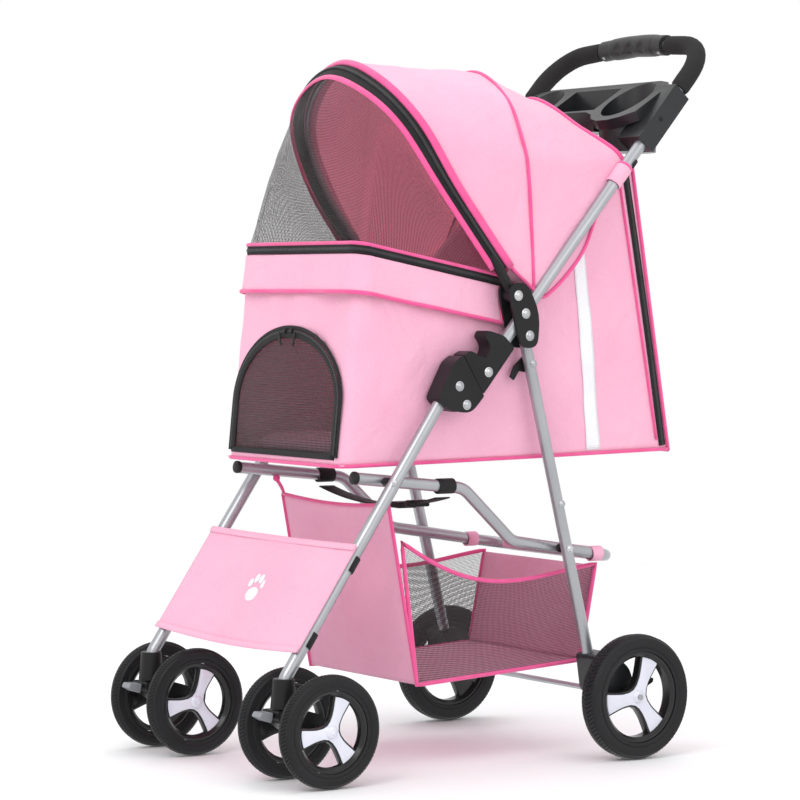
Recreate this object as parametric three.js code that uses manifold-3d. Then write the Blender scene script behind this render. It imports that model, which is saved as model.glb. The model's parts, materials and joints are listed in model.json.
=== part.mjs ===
// A folding four-wheel pet stroller, in millimetres, +Z up, facing -Y, with +X on the rider's left.
// Side views are drawn in (y, z); y = 0 is halfway between the axles and z = 0 is the floor.
import * as THREE from "three";
import { mergeVertices } from "three/addons/utils/BufferGeometryUtils.js";
import Module from "manifold-3d";

const wasm = await Module();
wasm.setup();

// Driving dimensions.
const gap = 0.4; // between pieces that touch
const baseShift = -51.35; // puts the middle of the whole length on y = 0
const wheelbase = 492;
const legX = 168; // plane of the leg and handle tubes
const barX = 144.5; // plane of the U-bar's arms
const legTube = 8.5; // tube radii
const rearTube = 8;
const barTube = 8;
const hoopTube = 4;
const pinRadius = 3.2;
const rearWheel = { radius: 85, width: 31, x: 218.5, rim: 62 };
const frontWheel = { radius: 73, width: 21.5, offset: 48.75, rim: 53 };
const axleRadius = 4;
const casterX = 166;
const casterY = -285;
const cabinHalf = 142;
const wall = 3; // thickness of the fabric solids
const archCentreZ = 792;
const archHalf = 160;
const archRise = 153;

// Pivots of the folding frame, in side view.
const latchPivot = [-13.8, 481.7];
const handlePitch = THREE.MathUtils.degToRad(49.6);
const hingePivot = [89.6, 572.3];
const hingeMid = [82.7, 601.8];
const hoodPivot = [70, 625.5];
const barFront = [-122, 382];
const barRear = [165.5, 285];
const rearAxle = [wheelbase / 2, rearWheel.radius];
const frontAxle = [-wheelbase / 2, frontWheel.radius];
const legFoot = [casterY, 135];
const legTop = [-22, 521];
const rearLegFoot = [214.4, 100];

const paint = {
  silver: new THREE.MeshStandardMaterial({ color: 0xa9acb0, metalness: 0.85, roughness: 0.38 }),
  black: new THREE.MeshStandardMaterial({ color: 0x17181a, roughness: 0.55 }),
  charcoal: new THREE.MeshStandardMaterial({ color: 0x2b2c2f, roughness: 0.45 }),
  foam: new THREE.MeshStandardMaterial({ color: 0x1a191a, roughness: 0.95 }),
  tyre: new THREE.MeshStandardMaterial({ color: 0x202124, roughness: 0.8 }),
  pink: new THREE.MeshStandardMaterial({ color: 0xf3b4d2, roughness: 0.9 }),
  mesh: new THREE.MeshStandardMaterial({ color: 0x2a1f25, roughness: 0.9 }),
  grey: new THREE.MeshStandardMaterial({ color: 0x8d9095, roughness: 0.6 }),
};

const stroller = new THREE.Group();
stroller.position.y = baseShift;

function addMesh(name, geometry, material, position = [0, 0, 0]) {
  const mesh = new THREE.Mesh(geometry, material);
  mesh.name = name;
  mesh.position.set(...position);
  stroller.add(mesh);
  return mesh;
}

// The left piece as drawn, and its mirror image on the right.
function addPair(name, geometry, material, position = [0, 0, 0]) {
  addMesh(`${name}_left`, geometry, material, position);
  const [x, y, z] = position;
  addMesh(`${name}_right`, geometry, material, [-x, y, z]).scale.x = -1;
}

// Geometry to a solid and back.
function toSolid(geometry) {
  const bare = geometry.clone();
  bare.deleteAttribute("normal");
  bare.deleteAttribute("uv");
  const merged = mergeVertices(bare, 1e-3);
  return new wasm.Manifold(
    new wasm.Mesh({
      numProp: 3,
      vertProperties: merged.attributes.position.array,
      triVerts: new Uint32Array(merged.index.array),
    }),
  );
}

function toGeometry(solid) {
  const { vertProperties, triVerts } = solid.simplify(0.01).getMesh();
  const geometry = new THREE.BufferGeometry();
  geometry.setAttribute("position", new THREE.BufferAttribute(vertProperties, 3));
  geometry.setIndex(new THREE.BufferAttribute(triVerts, 1));
  geometry.computeVertexNormals();
  return geometry;
}

function join(...geometries) {
  return toGeometry(geometries.map(toSolid).reduce((sum, next) => sum.add(next)));
}

function cut(geometry, ...tools) {
  return toGeometry(tools.map(toSolid).reduce((rest, tool) => rest.subtract(tool), toSolid(geometry)));
}

function overlap(a, b) {
  return toGeometry(toSolid(a).intersect(toSolid(b)));
}

// A closed outline from corners [u, v, radius], each corner rounded by its own radius.
function roundedShape(corners) {
  const shape = new THREE.Shape();
  corners.forEach(([u, v, radius = 0], i) => {
    const corner = new THREE.Vector2(u, v);
    const before = new THREE.Vector2(...corners.at(i - 1).slice(0, 2));
    const after = new THREE.Vector2(...corners[(i + 1) % corners.length].slice(0, 2));
    const start = corner.clone().add(before.sub(corner).setLength(radius));
    const end = corner.clone().add(after.sub(corner).setLength(radius));
    if (i === 0) shape.moveTo(start.x, start.y);
    else shape.lineTo(start.x, start.y);
    if (radius > 0) shape.quadraticCurveTo(u, v, end.x, end.y);
  });
  shape.closePath();
  return shape;
}

// A side-view outline (y, z) given thickness along x, from x0 to x1.
function sidePlate(shape, x0, x1, curveSegments = 4) {
  const slab = new THREE.ExtrudeGeometry(shape, { depth: x1 - x0, bevelEnabled: false, curveSegments });
  const turn = new THREE.Matrix4().makeBasis(
    new THREE.Vector3(0, 1, 0),
    new THREE.Vector3(0, 0, 1),
    new THREE.Vector3(1, 0, 0),
  );
  return slab.applyMatrix4(turn).translate(x0, 0, 0);
}

// A front-view outline (x, z) given thickness along y, from y0 back to y1.
function frontPlate(shape, y0, y1, curveSegments = 6) {
  const slab = new THREE.ExtrudeGeometry(shape, { depth: y1 - y0, bevelEnabled: false, curveSegments });
  return slab.rotateX(Math.PI / 2).translate(0, y1, 0);
}

// A round bar along x, in side view at [y, z].
function crossRod([y, z], radius, x0, x1, sides = 12) {
  const rod = new THREE.CylinderGeometry(radius, radius, x1 - x0, sides);
  return rod.rotateZ(-Math.PI / 2).translate((x0 + x1) / 2, y, z);
}

// A bent tube's centre line: straight runs between corners, with an arc of its own radius at each corner.
class BentLine extends THREE.Curve {
  constructor(corners, arcSteps) {
    super();
    this.stations = [];
    corners.forEach(([x, y, z, radius = 0], i) => {
      const corner = new THREE.Vector3(x, y, z);
      if (i === 0 || i === corners.length - 1) {
        this.stations.push(corner);
        return;
      }
      const toBefore = new THREE.Vector3(...corners[i - 1].slice(0, 3)).sub(corner).normalize();
      const toAfter = new THREE.Vector3(...corners[i + 1].slice(0, 3)).sub(corner).normalize();
      const halfAngle = toBefore.angleTo(toAfter) / 2;
      const reach = radius / Math.tan(halfAngle);
      const start = corner.clone().addScaledVector(toBefore, reach);
      const middle = toBefore.clone().add(toAfter).setLength(radius / Math.sin(halfAngle)).add(corner);
      const axis = toAfter.clone().cross(toBefore).normalize();
      for (let step = 0; step <= arcSteps; step++) {
        const turn = ((Math.PI - 2 * halfAngle) * step) / arcSteps;
        this.stations.push(start.clone().sub(middle).applyAxisAngle(axis, turn).add(middle));
      }
    });
  }
  getUtoTmapping(u) {
    return u;
  }
  getPoint(t) {
    const place = t * (this.stations.length - 1);
    const i = Math.min(Math.floor(place), this.stations.length - 2);
    return this.stations[i].clone().lerp(this.stations[i + 1], place - i);
  }
  getTangent(t) {
    const last = this.stations.length - 1;
    const i = Math.round(t * last);
    const ahead = this.stations[Math.min(i + 1, last)].clone().sub(this.stations[Math.min(i, last - 1)]);
    const behind = this.stations[Math.max(i, 1)].clone().sub(this.stations[Math.max(i - 1, 0)]);
    return ahead.normalize().add(behind.normalize()).normalize();
  }
}

function bentTube(corners, radius, arcSteps = 4, sides = 10) {
  const line = new BentLine(corners, arcSteps);
  const section = new THREE.Shape().absarc(0, 0, radius, 0, 2 * Math.PI);
  return new THREE.ExtrudeGeometry(section, {
    steps: line.stations.length - 1,
    extrudePath: line,
    curveSegments: sides / 2, // an arc is cut into twice as many
    bevelEnabled: false,
  });
}

// A turned piece on an axle along x: the profile is [radius, x] points, closed on itself or on the axis.
function turned(profile, segments) {
  const points = profile.map(([radius, x]) => new THREE.Vector2(radius, x)).reverse();
  return new THREE.LatheGeometry(points, segments).rotateZ(-Math.PI / 2);
}

// A point on the handle's plane: s along the tubes from the latch pivot, t square to them.
function onHandle(s, t = 0) {
  const [y, z] = latchPivot;
  return [
    y + s * Math.cos(handlePitch) - t * Math.sin(handlePitch),
    z + s * Math.sin(handlePitch) + t * Math.cos(handlePitch),
  ];
}

function handleShape(corners) {
  return roundedShape(corners.map(([s, t, radius]) => [...onHandle(s, t), radius]));
}

// Turns a geometry drawn along +Y so that it leans back with the handle, and puts it at a place on it.
function leaned(geometry, s, t, x) {
  const [y, z] = onHandle(s, t);
  return geometry.rotateX(handlePitch).translate(x, y, z);
}

// One of a wheel's three windows, between two of its arms: a rounded triangle that opens outwards.
function wheelWindow(rim, turn) {
  const reach = rim - 8.5;
  const spread = THREE.MathUtils.degToRad(39);
  const shape = new THREE.Shape();
  const [u, v] = [reach * Math.cos(spread), reach * Math.sin(spread)];
  shape.moveTo(0.36 * reach, 0);
  shape.quadraticCurveTo(0.37 * reach, 0.28 * reach, u, v);
  shape.absarc(0, 0, reach, spread, -spread, true);
  shape.quadraticCurveTo(0.37 * reach, -0.28 * reach, 0.36 * reach, 0);
  return sidePlate(shape, -20, 20, 6).rotateX(turn);
}

function wheelParts(wheel) {
  const { radius, width, rim } = wheel;
  const half = width / 2;
  const tread = half * 0.62;
  const bead = half * 0.8;
  const tyre = turned(
    [
      [rim + gap, -bead],
      [rim + gap, bead],
      [radius - 9, half],
      [radius - 2, tread],
      [radius, 0],
      [radius - 2, -tread],
      [radius - 9, -half],
      [rim + gap, -bead],
    ],
    28,
  );
  const hub = axleRadius + gap;
  const face = bead - 1;
  const dish = half * 0.35;
  const body = turned(
    [
      [hub, -face],
      [hub, face],
      [17, face],
      [19, dish],
      [rim - 8, dish],
      [rim, face],
      [rim, -face],
      [rim - 8, -dish],
      [19, -dish],
      [17, -face],
      [hub, -face],
    ],
    20,
  );
  const windows = [0, 1, 2].map((i) => wheelWindow(rim, ((2 * i + 0.13) * Math.PI) / 3));
  return { tyre, body: cut(body, ...windows) };
}

function addWheels() {
  const rear = wheelParts(rearWheel);
  addPair("rear_tyre", rear.tyre, paint.tyre, [rearWheel.x, ...rearAxle]);
  addPair("rear_rim", rear.body, paint.black, [rearWheel.x, ...rearAxle]);
  const front = wheelParts(frontWheel);
  for (const [place, offset] of [["outer", frontWheel.offset], ["inner", -frontWheel.offset]]) {
    addPair(`front_tyre_${place}`, front.tyre, paint.tyre, [casterX + offset, ...frontAxle]);
    addPair(`front_rim_${place}`, front.body, paint.black, [casterX + offset, ...frontAxle]);
  }
}

// Front frame: legs bent upright at the foot, latch housings, caster sockets and the leg guard.
function addFrontLegs() {
  const tube = bentTube([[legX, ...legTop], [legX, ...legFoot, 30], [legX, casterY, 112]], legTube);
  const spacer = crossRod(barFront, 6, barX + barTube + gap, legX - 4);
  addPair("front_leg", join(tube, spacer), paint.silver);
}

function addLatchHousings() {
  const outline = handleShape([
    [-23, 16, 8],
    [-4, -13, 12],
    [27, -14.5, 3],
    [45.5, 47, 3],
    [30, 52, 6],
    [-24, 40, 8],
  ]);
  const block = sidePlate(outline, legX - 15, legX + 15);
  const leg = bentTube([[legX, ...legTop], [legX, ...legFoot, 30], [legX, casterY, 112]], legTube + gap);
  const slot = sidePlate(
    handleShape([[-40, 11], [-40, -30], [60, -30], [60, 11]]),
    legX - legTube - 1,
    legX + legTube + 1,
  );
  const pin = crossRod(latchPivot, pinRadius, legX - 14, legX + 14);
  addPair("latch_housing", join(cut(block, leg, slot), pin), paint.black);
}

function addLatchSlides() {
  const outline = handleShape([
    [29, -13, 3],
    [108, -12, 4],
    [109, 12, 5],
    [97, 37, 4],
    [88, 35, 3],
    [84, 18, 8],
    [69, 14, 6],
    [62, 26, 4],
    [60, 40, 5],
    [47, 45, 3],
  ]);
  const block = sidePlate(outline, legX - 13, legX + 13);
  const bore = leaned(new THREE.CylinderGeometry(legTube + gap, legTube + gap, 160, 24), 70, 0, legX);
  addPair("latch_slide", cut(block, bore), paint.black);
}

function addCasters() {
  const socketTop = 138;
  const socketFoot = 100;
  const stemTop = 111;
  const socket = new THREE.CylinderGeometry(14, 17, socketTop - socketFoot, 20).rotateX(Math.PI / 2);
  socket.translate(legX, casterY, (socketTop + socketFoot) / 2);
  const leg = bentTube([[legX, ...legTop], [legX, ...legFoot, 30], [legX, casterY, 112]], legTube + gap);
  const stem = (radius, top) =>
    new THREE.CylinderGeometry(radius, radius, top - 80, 16)
      .rotateX(Math.PI / 2)
      .translate(legX, casterY, (top + 80) / 2);
  addPair("caster_socket", cut(socket, leg, stem(6 + gap, stemTop + 2)), paint.black);

  const [axleY, axleZ] = frontAxle;
  const outline = roundedShape([
    [casterY - 19, 99 - gap, 2],
    [casterY - 19, 86, 8],
    [axleY - 16, axleZ - 14, 12],
    [axleY + 14, axleZ - 13, 10],
    [axleY + 13, axleZ + 16, 10],
    [casterY + 20, 99 - gap, 4],
  ]);
  const fork = sidePlate(outline, casterX - 18, casterX + 20);
  const bore = crossRod(frontAxle, axleRadius + gap, casterX - 40, casterX + 40);
  addPair("caster_fork", cut(join(fork, stem(6, stemTop)), bore), paint.black);
  const axle = crossRod(frontAxle, axleRadius, -frontWheel.offset - 9, frontWheel.offset + 9);
  addPair("front_axle", axle, paint.silver, [casterX, 0, 0]);
  const lever = roundedShape([
    [casterY - 20.5, 97, 2],
    [casterY - 23, 84, 2],
    [casterY - 30, 86, 3],
    [casterY - 41, 92, 2],
    [casterY - 38, 98, 2],
  ]);
  addPair("swivel_lock", sidePlate(lever, casterX - 9, casterX + 11), paint.grey);
}

// A sheet held to the two front legs, just in front of them.
function addLegGuard() {
  const lean = new THREE.Vector2(legTop[0] - legFoot[0], legTop[1] - legFoot[1]).normalize();
  const onLeg = (z, out) => {
    const along = (z - legFoot[1]) / lean.y;
    return [legFoot[0] + along * lean.x - out * lean.y, z + out * lean.x];
  };
  const near = legTube + 1.2;
  const low = [onLeg(166, near), onLeg(166, near + wall)];
  const high = [onLeg(297, near + wall), onLeg(297, near)];
  const outline = roundedShape([...low, ...high]);
  addMesh("leg_guard", sidePlate(outline, -legX - 10, legX + 10), paint.pink);
}

// Rear frame: straight legs from the hinge plates to the axle, brake housings and pedals.
function addRearLegs() {
  const [hy, hz] = hingePivot;
  const [fy, fz] = rearLegFoot;
  const along = new THREE.Vector2(fy - hy, fz - hz).normalize();
  const top = [hy - 6.5 * along.x, hz - 6.5 * along.y];
  const tube = bentTube([[legX, ...top], [legX, fy, fz]], rearTube);
  const pin = crossRod(barRear, pinRadius, barX - barTube - 3, legX + 2);
  const spacer = crossRod(barRear, 6, barX + barTube + gap, legX - 4);
  const hole = crossRod(hingePivot, pinRadius + gap, legX - 12, legX + 12);
  addPair("rear_leg", cut(join(tube, pin, spacer), hole), paint.silver);
}

function addRearAxle() {
  const [ay, az] = rearAxle;
  addMesh("rear_axle", crossRod(rearAxle, axleRadius, -rearWheel.x - 13, rearWheel.x + 13), paint.silver);
  const [fy, fz] = rearLegFoot;
  const outline = roundedShape([
    [fy - 14, fz - 10, 8],
    [ay + 4, az - 17, 10],
    [ay + 16, az + 4, 10],
    [ay + 6, az + 36, 10],
    [fy + 4, fz + 46, 5],
    [fy - 22, fz + 40, 5],
  ]);
  const block = sidePlate(outline, legX - 12, legX + 31);
  const leg = bentTube([[legX, ...hingePivot], [legX, fy + gap, fz - 2]], rearTube + gap);
  const bore = crossRod(rearAxle, axleRadius + gap, legX - 30, legX + 50);
  addPair("brake_housing", cut(block, leg, bore), paint.charcoal);
  const pedal = roundedShape([
    [ay + 16, az + 22, 2],
    [ay + 16 + gap, az + 10, 2],
    [ay + 34, az + 6, 3],
    [ay + 50, az + 14, 3],
    [ay + 50, az + 20, 2],
    [ay + 32, az + 15, 3],
  ]);
  addPair("brake_pedal", sidePlate(pedal, legX - 8, legX + 28).translate(0, gap, 0), paint.charcoal);
}

// U-bar: two arms that step down behind the front pivots and join in a loop at the back.
const barArm = [
  [-161, 387],
  [9, 370],
  [91, 296],
  [272, 268],
];

function uBarCorners(half, loopRadius) {
  const arm = barArm.map(([y, z], i) => [half, y, z, i === 3 ? loopRadius : 34]);
  return [...arm, ...arm.map(([x, ...rest]) => [-x, ...rest]).reverse()];
}

function addUBar() {
  const bore = (place) => crossRod(place, pinRadius + gap, barX - 20, barX + 20);
  const otherBore = (place) => bore(place).translate(-2 * barX, 0, 0);
  const tube = bentTube(uBarCorners(barX, 42), barTube);
  const holes = [bore(barFront), otherBore(barFront), bore(barRear), otherBore(barRear)];
  addMesh("u_bar", cut(tube, ...holes), paint.silver);
  const plug = new THREE.CylinderGeometry(barTube, barTube - 0.6, 6, 16);
  const [y, z] = barArm[0];
  addPair("bar_plug", plug.rotateX(Math.PI - 0.103).translate(barX, y - 3.4, z + 0.35), paint.black);
}

// A tub of sheet: a side outline made as wide as given, hollowed by a smaller one that runs out of its top.
function tub(outer, inner, half) {
  const shell = sidePlate(roundedShape(outer), -half, half);
  const hollow = sidePlate(roundedShape(inner), wall - half, half - wall);
  return cut(shell, hollow);
}

function addBasket() {
  const half = 129;
  const shell = tub(
    [[-100, 352, 0], [-52, 108, 14], [221, 125, 14], [246, 258, 0], [100, 272, 20], [-60, 300, 20]],
    [[-110, 420, 0], [-49, 111, 14], [218.5, 128, 14], [256, 330, 0]],
    half,
  );
  addMesh("basket", shell, paint.pink);
  const sag = new THREE.Shape();
  sag.moveTo(-barX - 10, 361);
  sag.quadraticCurveTo(0, 322, barX + 10, 361);
  sag.lineTo(barX + 10, 358.5);
  sag.quadraticCurveTo(0, 319.5, -barX - 10, 358.5);
  addMesh("cabin_strap", frontPlate(sag, -34, -8), paint.black);
}

// Handle frame: one tube up both sides and over the top, hinge plates, foam, grip and tray.
const handleSide = 648; // where the side tubes would meet the bar's line
const handleTop = 664; // the bar's middle
const gripHalf = 73;

function handleCorners(from, half) {
  const side = [
    [half, ...onHandle(from)],
    [half, ...onHandle(handleSide), 62],
    [0, ...onHandle(handleTop), 420],
  ];
  return [...side, ...side.slice(0, 2).map(([x, ...rest]) => [-x, ...rest]).reverse()];
}

function addHandle() {
  const lowEnd = new THREE.SphereGeometry(legTube, 12, 6);
  const ends = [legX, -legX].map((x) => lowEnd.clone().translate(x, ...latchPivot));
  const tube = bentTube(handleCorners(0, legX), legTube, 5);
  const hole = (place) => crossRod(place, pinRadius + gap, -legX - 15, legX + 15);
  addMesh("handle_tube", cut(join(tube, ...ends), hole(latchPivot), hole(hingeMid)), paint.silver);

  const core = bentTube(handleCorners(550, legX), legTube + gap, 5);
  const sleeve = cut(bentTube(handleCorners(564, legX), 13, 5), core);
  const leftOnly = new THREE.BoxGeometry(200, 400, 400).translate(gripHalf + 100, 380, 950);
  const middle = new THREE.BoxGeometry(2 * gripHalf - 1, 400, 400).translate(0, 380, 950);
  addPair("foam_sleeve", overlap(sleeve, leftOnly), paint.foam);
  addMesh("centre_grip", overlap(sleeve, middle), paint.black);
}

function addHingePlates() {
  const outline = roundedShape([
    [54, 640, 14],
    [84, 644, 14],
    [107, 602, 22],
    [103, 556, 13],
    [76, 556, 12],
    [62, 600, 22],
  ]);
  const outer = sidePlate(outline, legX + legTube + 1, legX + legTube + 5);
  const pins = [hingePivot, hingeMid, hoodPivot].map((place) =>
    crossRod(place, pinRadius, legX - legTube - 3, legX + legTube + 2),
  );
  addPair("hinge_plate_outer", join(outer, ...pins), paint.black);
  const inner = sidePlate(outline, legX - legTube - 5, legX - legTube - 1);
  const bores = [hingePivot, hingeMid, hoodPivot].map((place) =>
    crossRod(place, pinRadius + gap, legX - legTube - 8, legX - legTube + 2),
  );
  addPair("hinge_plate_inner", cut(inner, ...bores), paint.black);
}

function addTray() {
  const cupX = 104;
  const cupY = 318;
  const cupFloor = 829;
  const deckFront = [272, 872];
  const deckRear = [356, 926];
  const deckThick = 16;
  const plan = new THREE.Shape();
  plan.moveTo(-157, 290);
  plan.bezierCurveTo(-138, 266, -78, 266, -58, 288);
  plan.quadraticCurveTo(0, 296, 58, 288);
  plan.bezierCurveTo(78, 266, 138, 266, 157, 290);
  plan.lineTo(157, 326);
  plan.lineTo(124, 354);
  plan.lineTo(-124, 354);
  plan.lineTo(-157, 326);
  plan.closePath();
  const column = new THREE.ExtrudeGeometry(plan, { depth: 150, bevelEnabled: false, curveSegments: 6 });
  column.translate(0, 0, 800);
  const lower = ([y, z], by) => [y, z - by];
  const deck = sidePlate(
    roundedShape([deckFront, deckRear, lower(deckRear, deckThick), lower(deckFront, deckThick)]),
    -170,
    170,
  );
  const past = 400;
  const slope = (deckRear[1] - deckFront[1]) / (deckRear[0] - deckFront[0]);
  const pastRear = [past, deckRear[1] + (past - deckRear[0]) * slope];
  const aboveShape = roundedShape([deckFront, pastRear, [past, 1000], [200, 1000], [200, 830]]);
  const above = sidePlate(aboveShape, -170, 170);
  const cup = (top, foot, low, high) => {
    const round = new THREE.CylinderGeometry(top, foot, high - low, 24).rotateX(Math.PI / 2);
    return round.translate(0, cupY, (low + high) / 2);
  };
  const box = (width, depth, low, high) => {
    return new THREE.BoxGeometry(width, depth, high - low).translate(0, 321, (low + high) / 2);
  };
  const outside = [-cupX, cupX].map((x) => cup(45, 41, cupFloor - 3, 940).translate(x, 0, 0));
  const inside = [-cupX, cupX].map((x) => cup(42, 38, cupFloor, 941).translate(x, 0, 0));
  const body = join(overlap(column, deck), ...outside, box(118, 58, 856, 940));
  const clampLength = 98;
  const clamps = [-legX, legX].map((x) => leaned(new THREE.BoxGeometry(24, clampLength, 30), 511, 0, x));
  const bores = [-legX, legX].map((x) =>
    leaned(new THREE.CylinderGeometry(legTube + gap, legTube + gap, clampLength + 20, 20), 511, 0, x),
  );
  const open = cut(body, ...inside, box(100, 50, 860, 941), above);
  addMesh("tray", cut(join(open, ...clamps), ...bores), paint.charcoal);
}

// A flat band round the cabin's rim, from one hinge to the other.
function addRimBand() {
  const half = cabinHalf + 5;
  const reach = 220;
  const shape = new THREE.Shape();
  shape.moveTo(half, reach);
  shape.lineTo(half, 14);
  shape.quadraticCurveTo(half, 0, half - 14, 0);
  shape.lineTo(14 - half, 0);
  shape.quadraticCurveTo(-half, 0, -half, 14);
  shape.lineTo(-half, reach);
  shape.lineTo(2.5 - half, reach);
  shape.lineTo(2.5 - half, 14);
  shape.quadraticCurveTo(2.5 - half, 2.5, 14 - half, 2.5);
  shape.lineTo(half - 14, 2.5);
  shape.quadraticCurveTo(half - 2.5, 2.5, half - 2.5, 14);
  shape.lineTo(half - 2.5, reach);
  shape.closePath();
  const band = new THREE.ExtrudeGeometry(shape, { depth: 16, bevelEnabled: false, curveSegments: 5 });
  addMesh("rim_band", band.rotateX(-0.15).translate(0, -170, 670), paint.silver);
}

// Cabin: a fabric tub with an arched doorway in front, a board and a cushion on its floor.
const cabinFloor = [[-184, 401], [362, 413]];
const floorSlope = (cabinFloor[1][1] - cabinFloor[0][1]) / (cabinFloor[1][0] - cabinFloor[0][0]);
const frontLean = Math.atan2(27, 289);

function floorSlab(low, high, y0, y1, radius) {
  const level = (y, lift) => [y, cabinFloor[0][1] + (y - cabinFloor[0][0]) * floorSlope + lift];
  return roundedShape(
    [level(y0, low), level(y1, low), level(y1, high), level(y0, high)].map((corner) => [...corner, radius]),
  );
}

function doorShape(half, foot, spring, rise) {
  const shape = new THREE.Shape();
  shape.moveTo(-half, foot);
  shape.lineTo(half, foot);
  shape.lineTo(half, spring);
  shape.absellipse(0, spring, half, rise, 0, Math.PI);
  shape.closePath();
  return shape;
}

// Leans a front-view piece back with the cabin's front wall, about the wall's foot.
function onFrontWall(geometry) {
  const [y, z] = cabinFloor[0];
  return geometry.rotateX(-frontLean).translate(0, y, z);
}

function addCabin() {
  const outer = [
    [-184, 401, 12],
    [362, 413, 14],
    [290, 815, 0],
    [268, 792, 0],
    [118, 640, 20],
    [40, 655, 10],
    [-157, 690, 0],
  ];
  const inner = [
    [-181, 404.2, 12],
    [358.5, 416, 14],
    [286, 824, 0],
    [250, 900, 0],
    [-120, 900, 0],
    [-153.5, 695, 0],
  ];
  const doorway = onFrontWall(frontPlate(doorShape(128, 12, 80, 96), -20, 20));
  addMesh("cabin_tub", cut(tub(outer, inner, cabinHalf), doorway), paint.pink);
  const door = onFrontWall(frontPlate(doorShape(127, 13, 80, 94.6), gap, wall + gap));
  addMesh("front_door", door, paint.mesh);
  const inside = cabinHalf - wall - 2;
  addMesh("floor_board", sidePlate(floorSlab(4, 8, -166, 342, 1), -inside, inside), paint.grey);
  addMesh("cushion", sidePlate(floorSlab(8.6, 32, -160, 334, 9), 6 - inside, inside - 6), paint.pink);
}

// The arched section shared by the canopy and its window, set in from the outside by a given amount.
function archShape(outerHalf, inset) {
  const half = outerHalf - inset;
  const shape = new THREE.Shape();
  shape.moveTo(-half, 560);
  shape.lineTo(half, 560);
  shape.lineTo(half, archCentreZ);
  shape.absellipse(0, archCentreZ, half, archRise - inset, 0, Math.PI);
  shape.closePath();
  return shape;
}

function archShell(half, outline, hollowOutline) {
  const solid = overlap(
    frontPlate(archShape(half, 0), -300, 400, 10),
    sidePlate(roundedShape(outline), -200, 200),
  );
  const inside = overlap(
    frontPlate(archShape(half, wall), -300, 400, 10),
    sidePlate(roundedShape(hollowOutline), -200, 200),
  );
  return cut(solid, inside);
}

const hoopLean = THREE.MathUtils.degToRad(29);
const hoopReach = 358;

// A point on the hoop's plane, a along it from the hood pivot and b in front of it.
function onHoop(a, b = 0) {
  const [y, z] = hoodPivot;
  return [
    y - a * Math.sin(hoopLean) - b * Math.cos(hoopLean),
    z + a * Math.cos(hoopLean) - b * Math.sin(hoopLean),
  ];
}

function addHood() {
  const half = archHalf;
  const centre = hoopReach - archHalf;
  const hoop = [
    [half, ...onHoop(46)],
    [half, ...onHoop(centre + 40), 90],
    [half - 52, ...onHoop(hoopReach - 26), 90],
    [0, ...onHoop(hoopReach + 2), 200],
  ];
  const mirrored = hoop.slice(0, 3).map(([x, ...rest]) => [-x, ...rest]).reverse();
  addMesh("hood_hoop", bentTube([...hoop, ...mirrored], hoopTube, 4, 8), paint.silver);
  const lug = crossRod(hoodPivot, 10, legX - legTube - 0.6, legX + legTube + 0.6, 20);
  const arm = bentTube([[legX, ...onHoop(4)], [legX - 1, ...onHoop(24), 14], [half, ...onHoop(62)]], 6.5, 3);
  const rodBore = bentTube([[half, ...onHoop(45)], [half, ...onHoop(90)]], hoopTube + gap, 3);
  const pinBore = crossRod(hoodPivot, pinRadius + gap, legX - 20, legX + 20);
  addPair("hood_socket", cut(join(lug, arm), rodBore, pinBore), paint.black);

  const behind = -hoopTube - 3.5;
  const canopyOutline = [
    onHoop(60, behind),
    onHoop(400, behind),
    [60, 960],
    [110, 948],
    [218, 905],
    onHandle(430, 13),
    onHandle(182, 13),
  ];
  const canopyHollow = [
    onHoop(-20, 5),
    onHoop(420, 5),
    [60, 957],
    [109, 945],
    [216, 902],
    onHandle(430, 16),
    onHandle(430, -30),
    onHandle(120, -30),
  ];
  addMesh("canopy", archShell(archHalf + 6, canopyOutline, canopyHollow), paint.pink);

  const ahead = hoopTube + 1.5;
  const windowOutline = [onHoop(64, ahead), onHoop(362, ahead), [-160, 692], [-40, 672]];
  const windowHollow = [
    onHoop(20, -20),
    onHoop(358, -20),
    onHoop(355, ahead + 2),
    [-156.5, 680],
    [-40, 640],
  ];
  addMesh("mesh_window", archShell(archHalf - 14, windowOutline, windowHollow), paint.mesh);
}

addWheels();
addFrontLegs();
addLatchHousings();
addLatchSlides();
addCasters();
addLegGuard();
addRearLegs();
addRearAxle();
addUBar();
addBasket();
addHandle();
addHingePlates();
addTray();
addRimBand();
addCabin();
addHood();

export default stroller;
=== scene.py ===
import json
import math

import bmesh
import bpy
from mathutils import Matrix, Vector, noise
from mathutils.bvhtree import BVHTree


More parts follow.
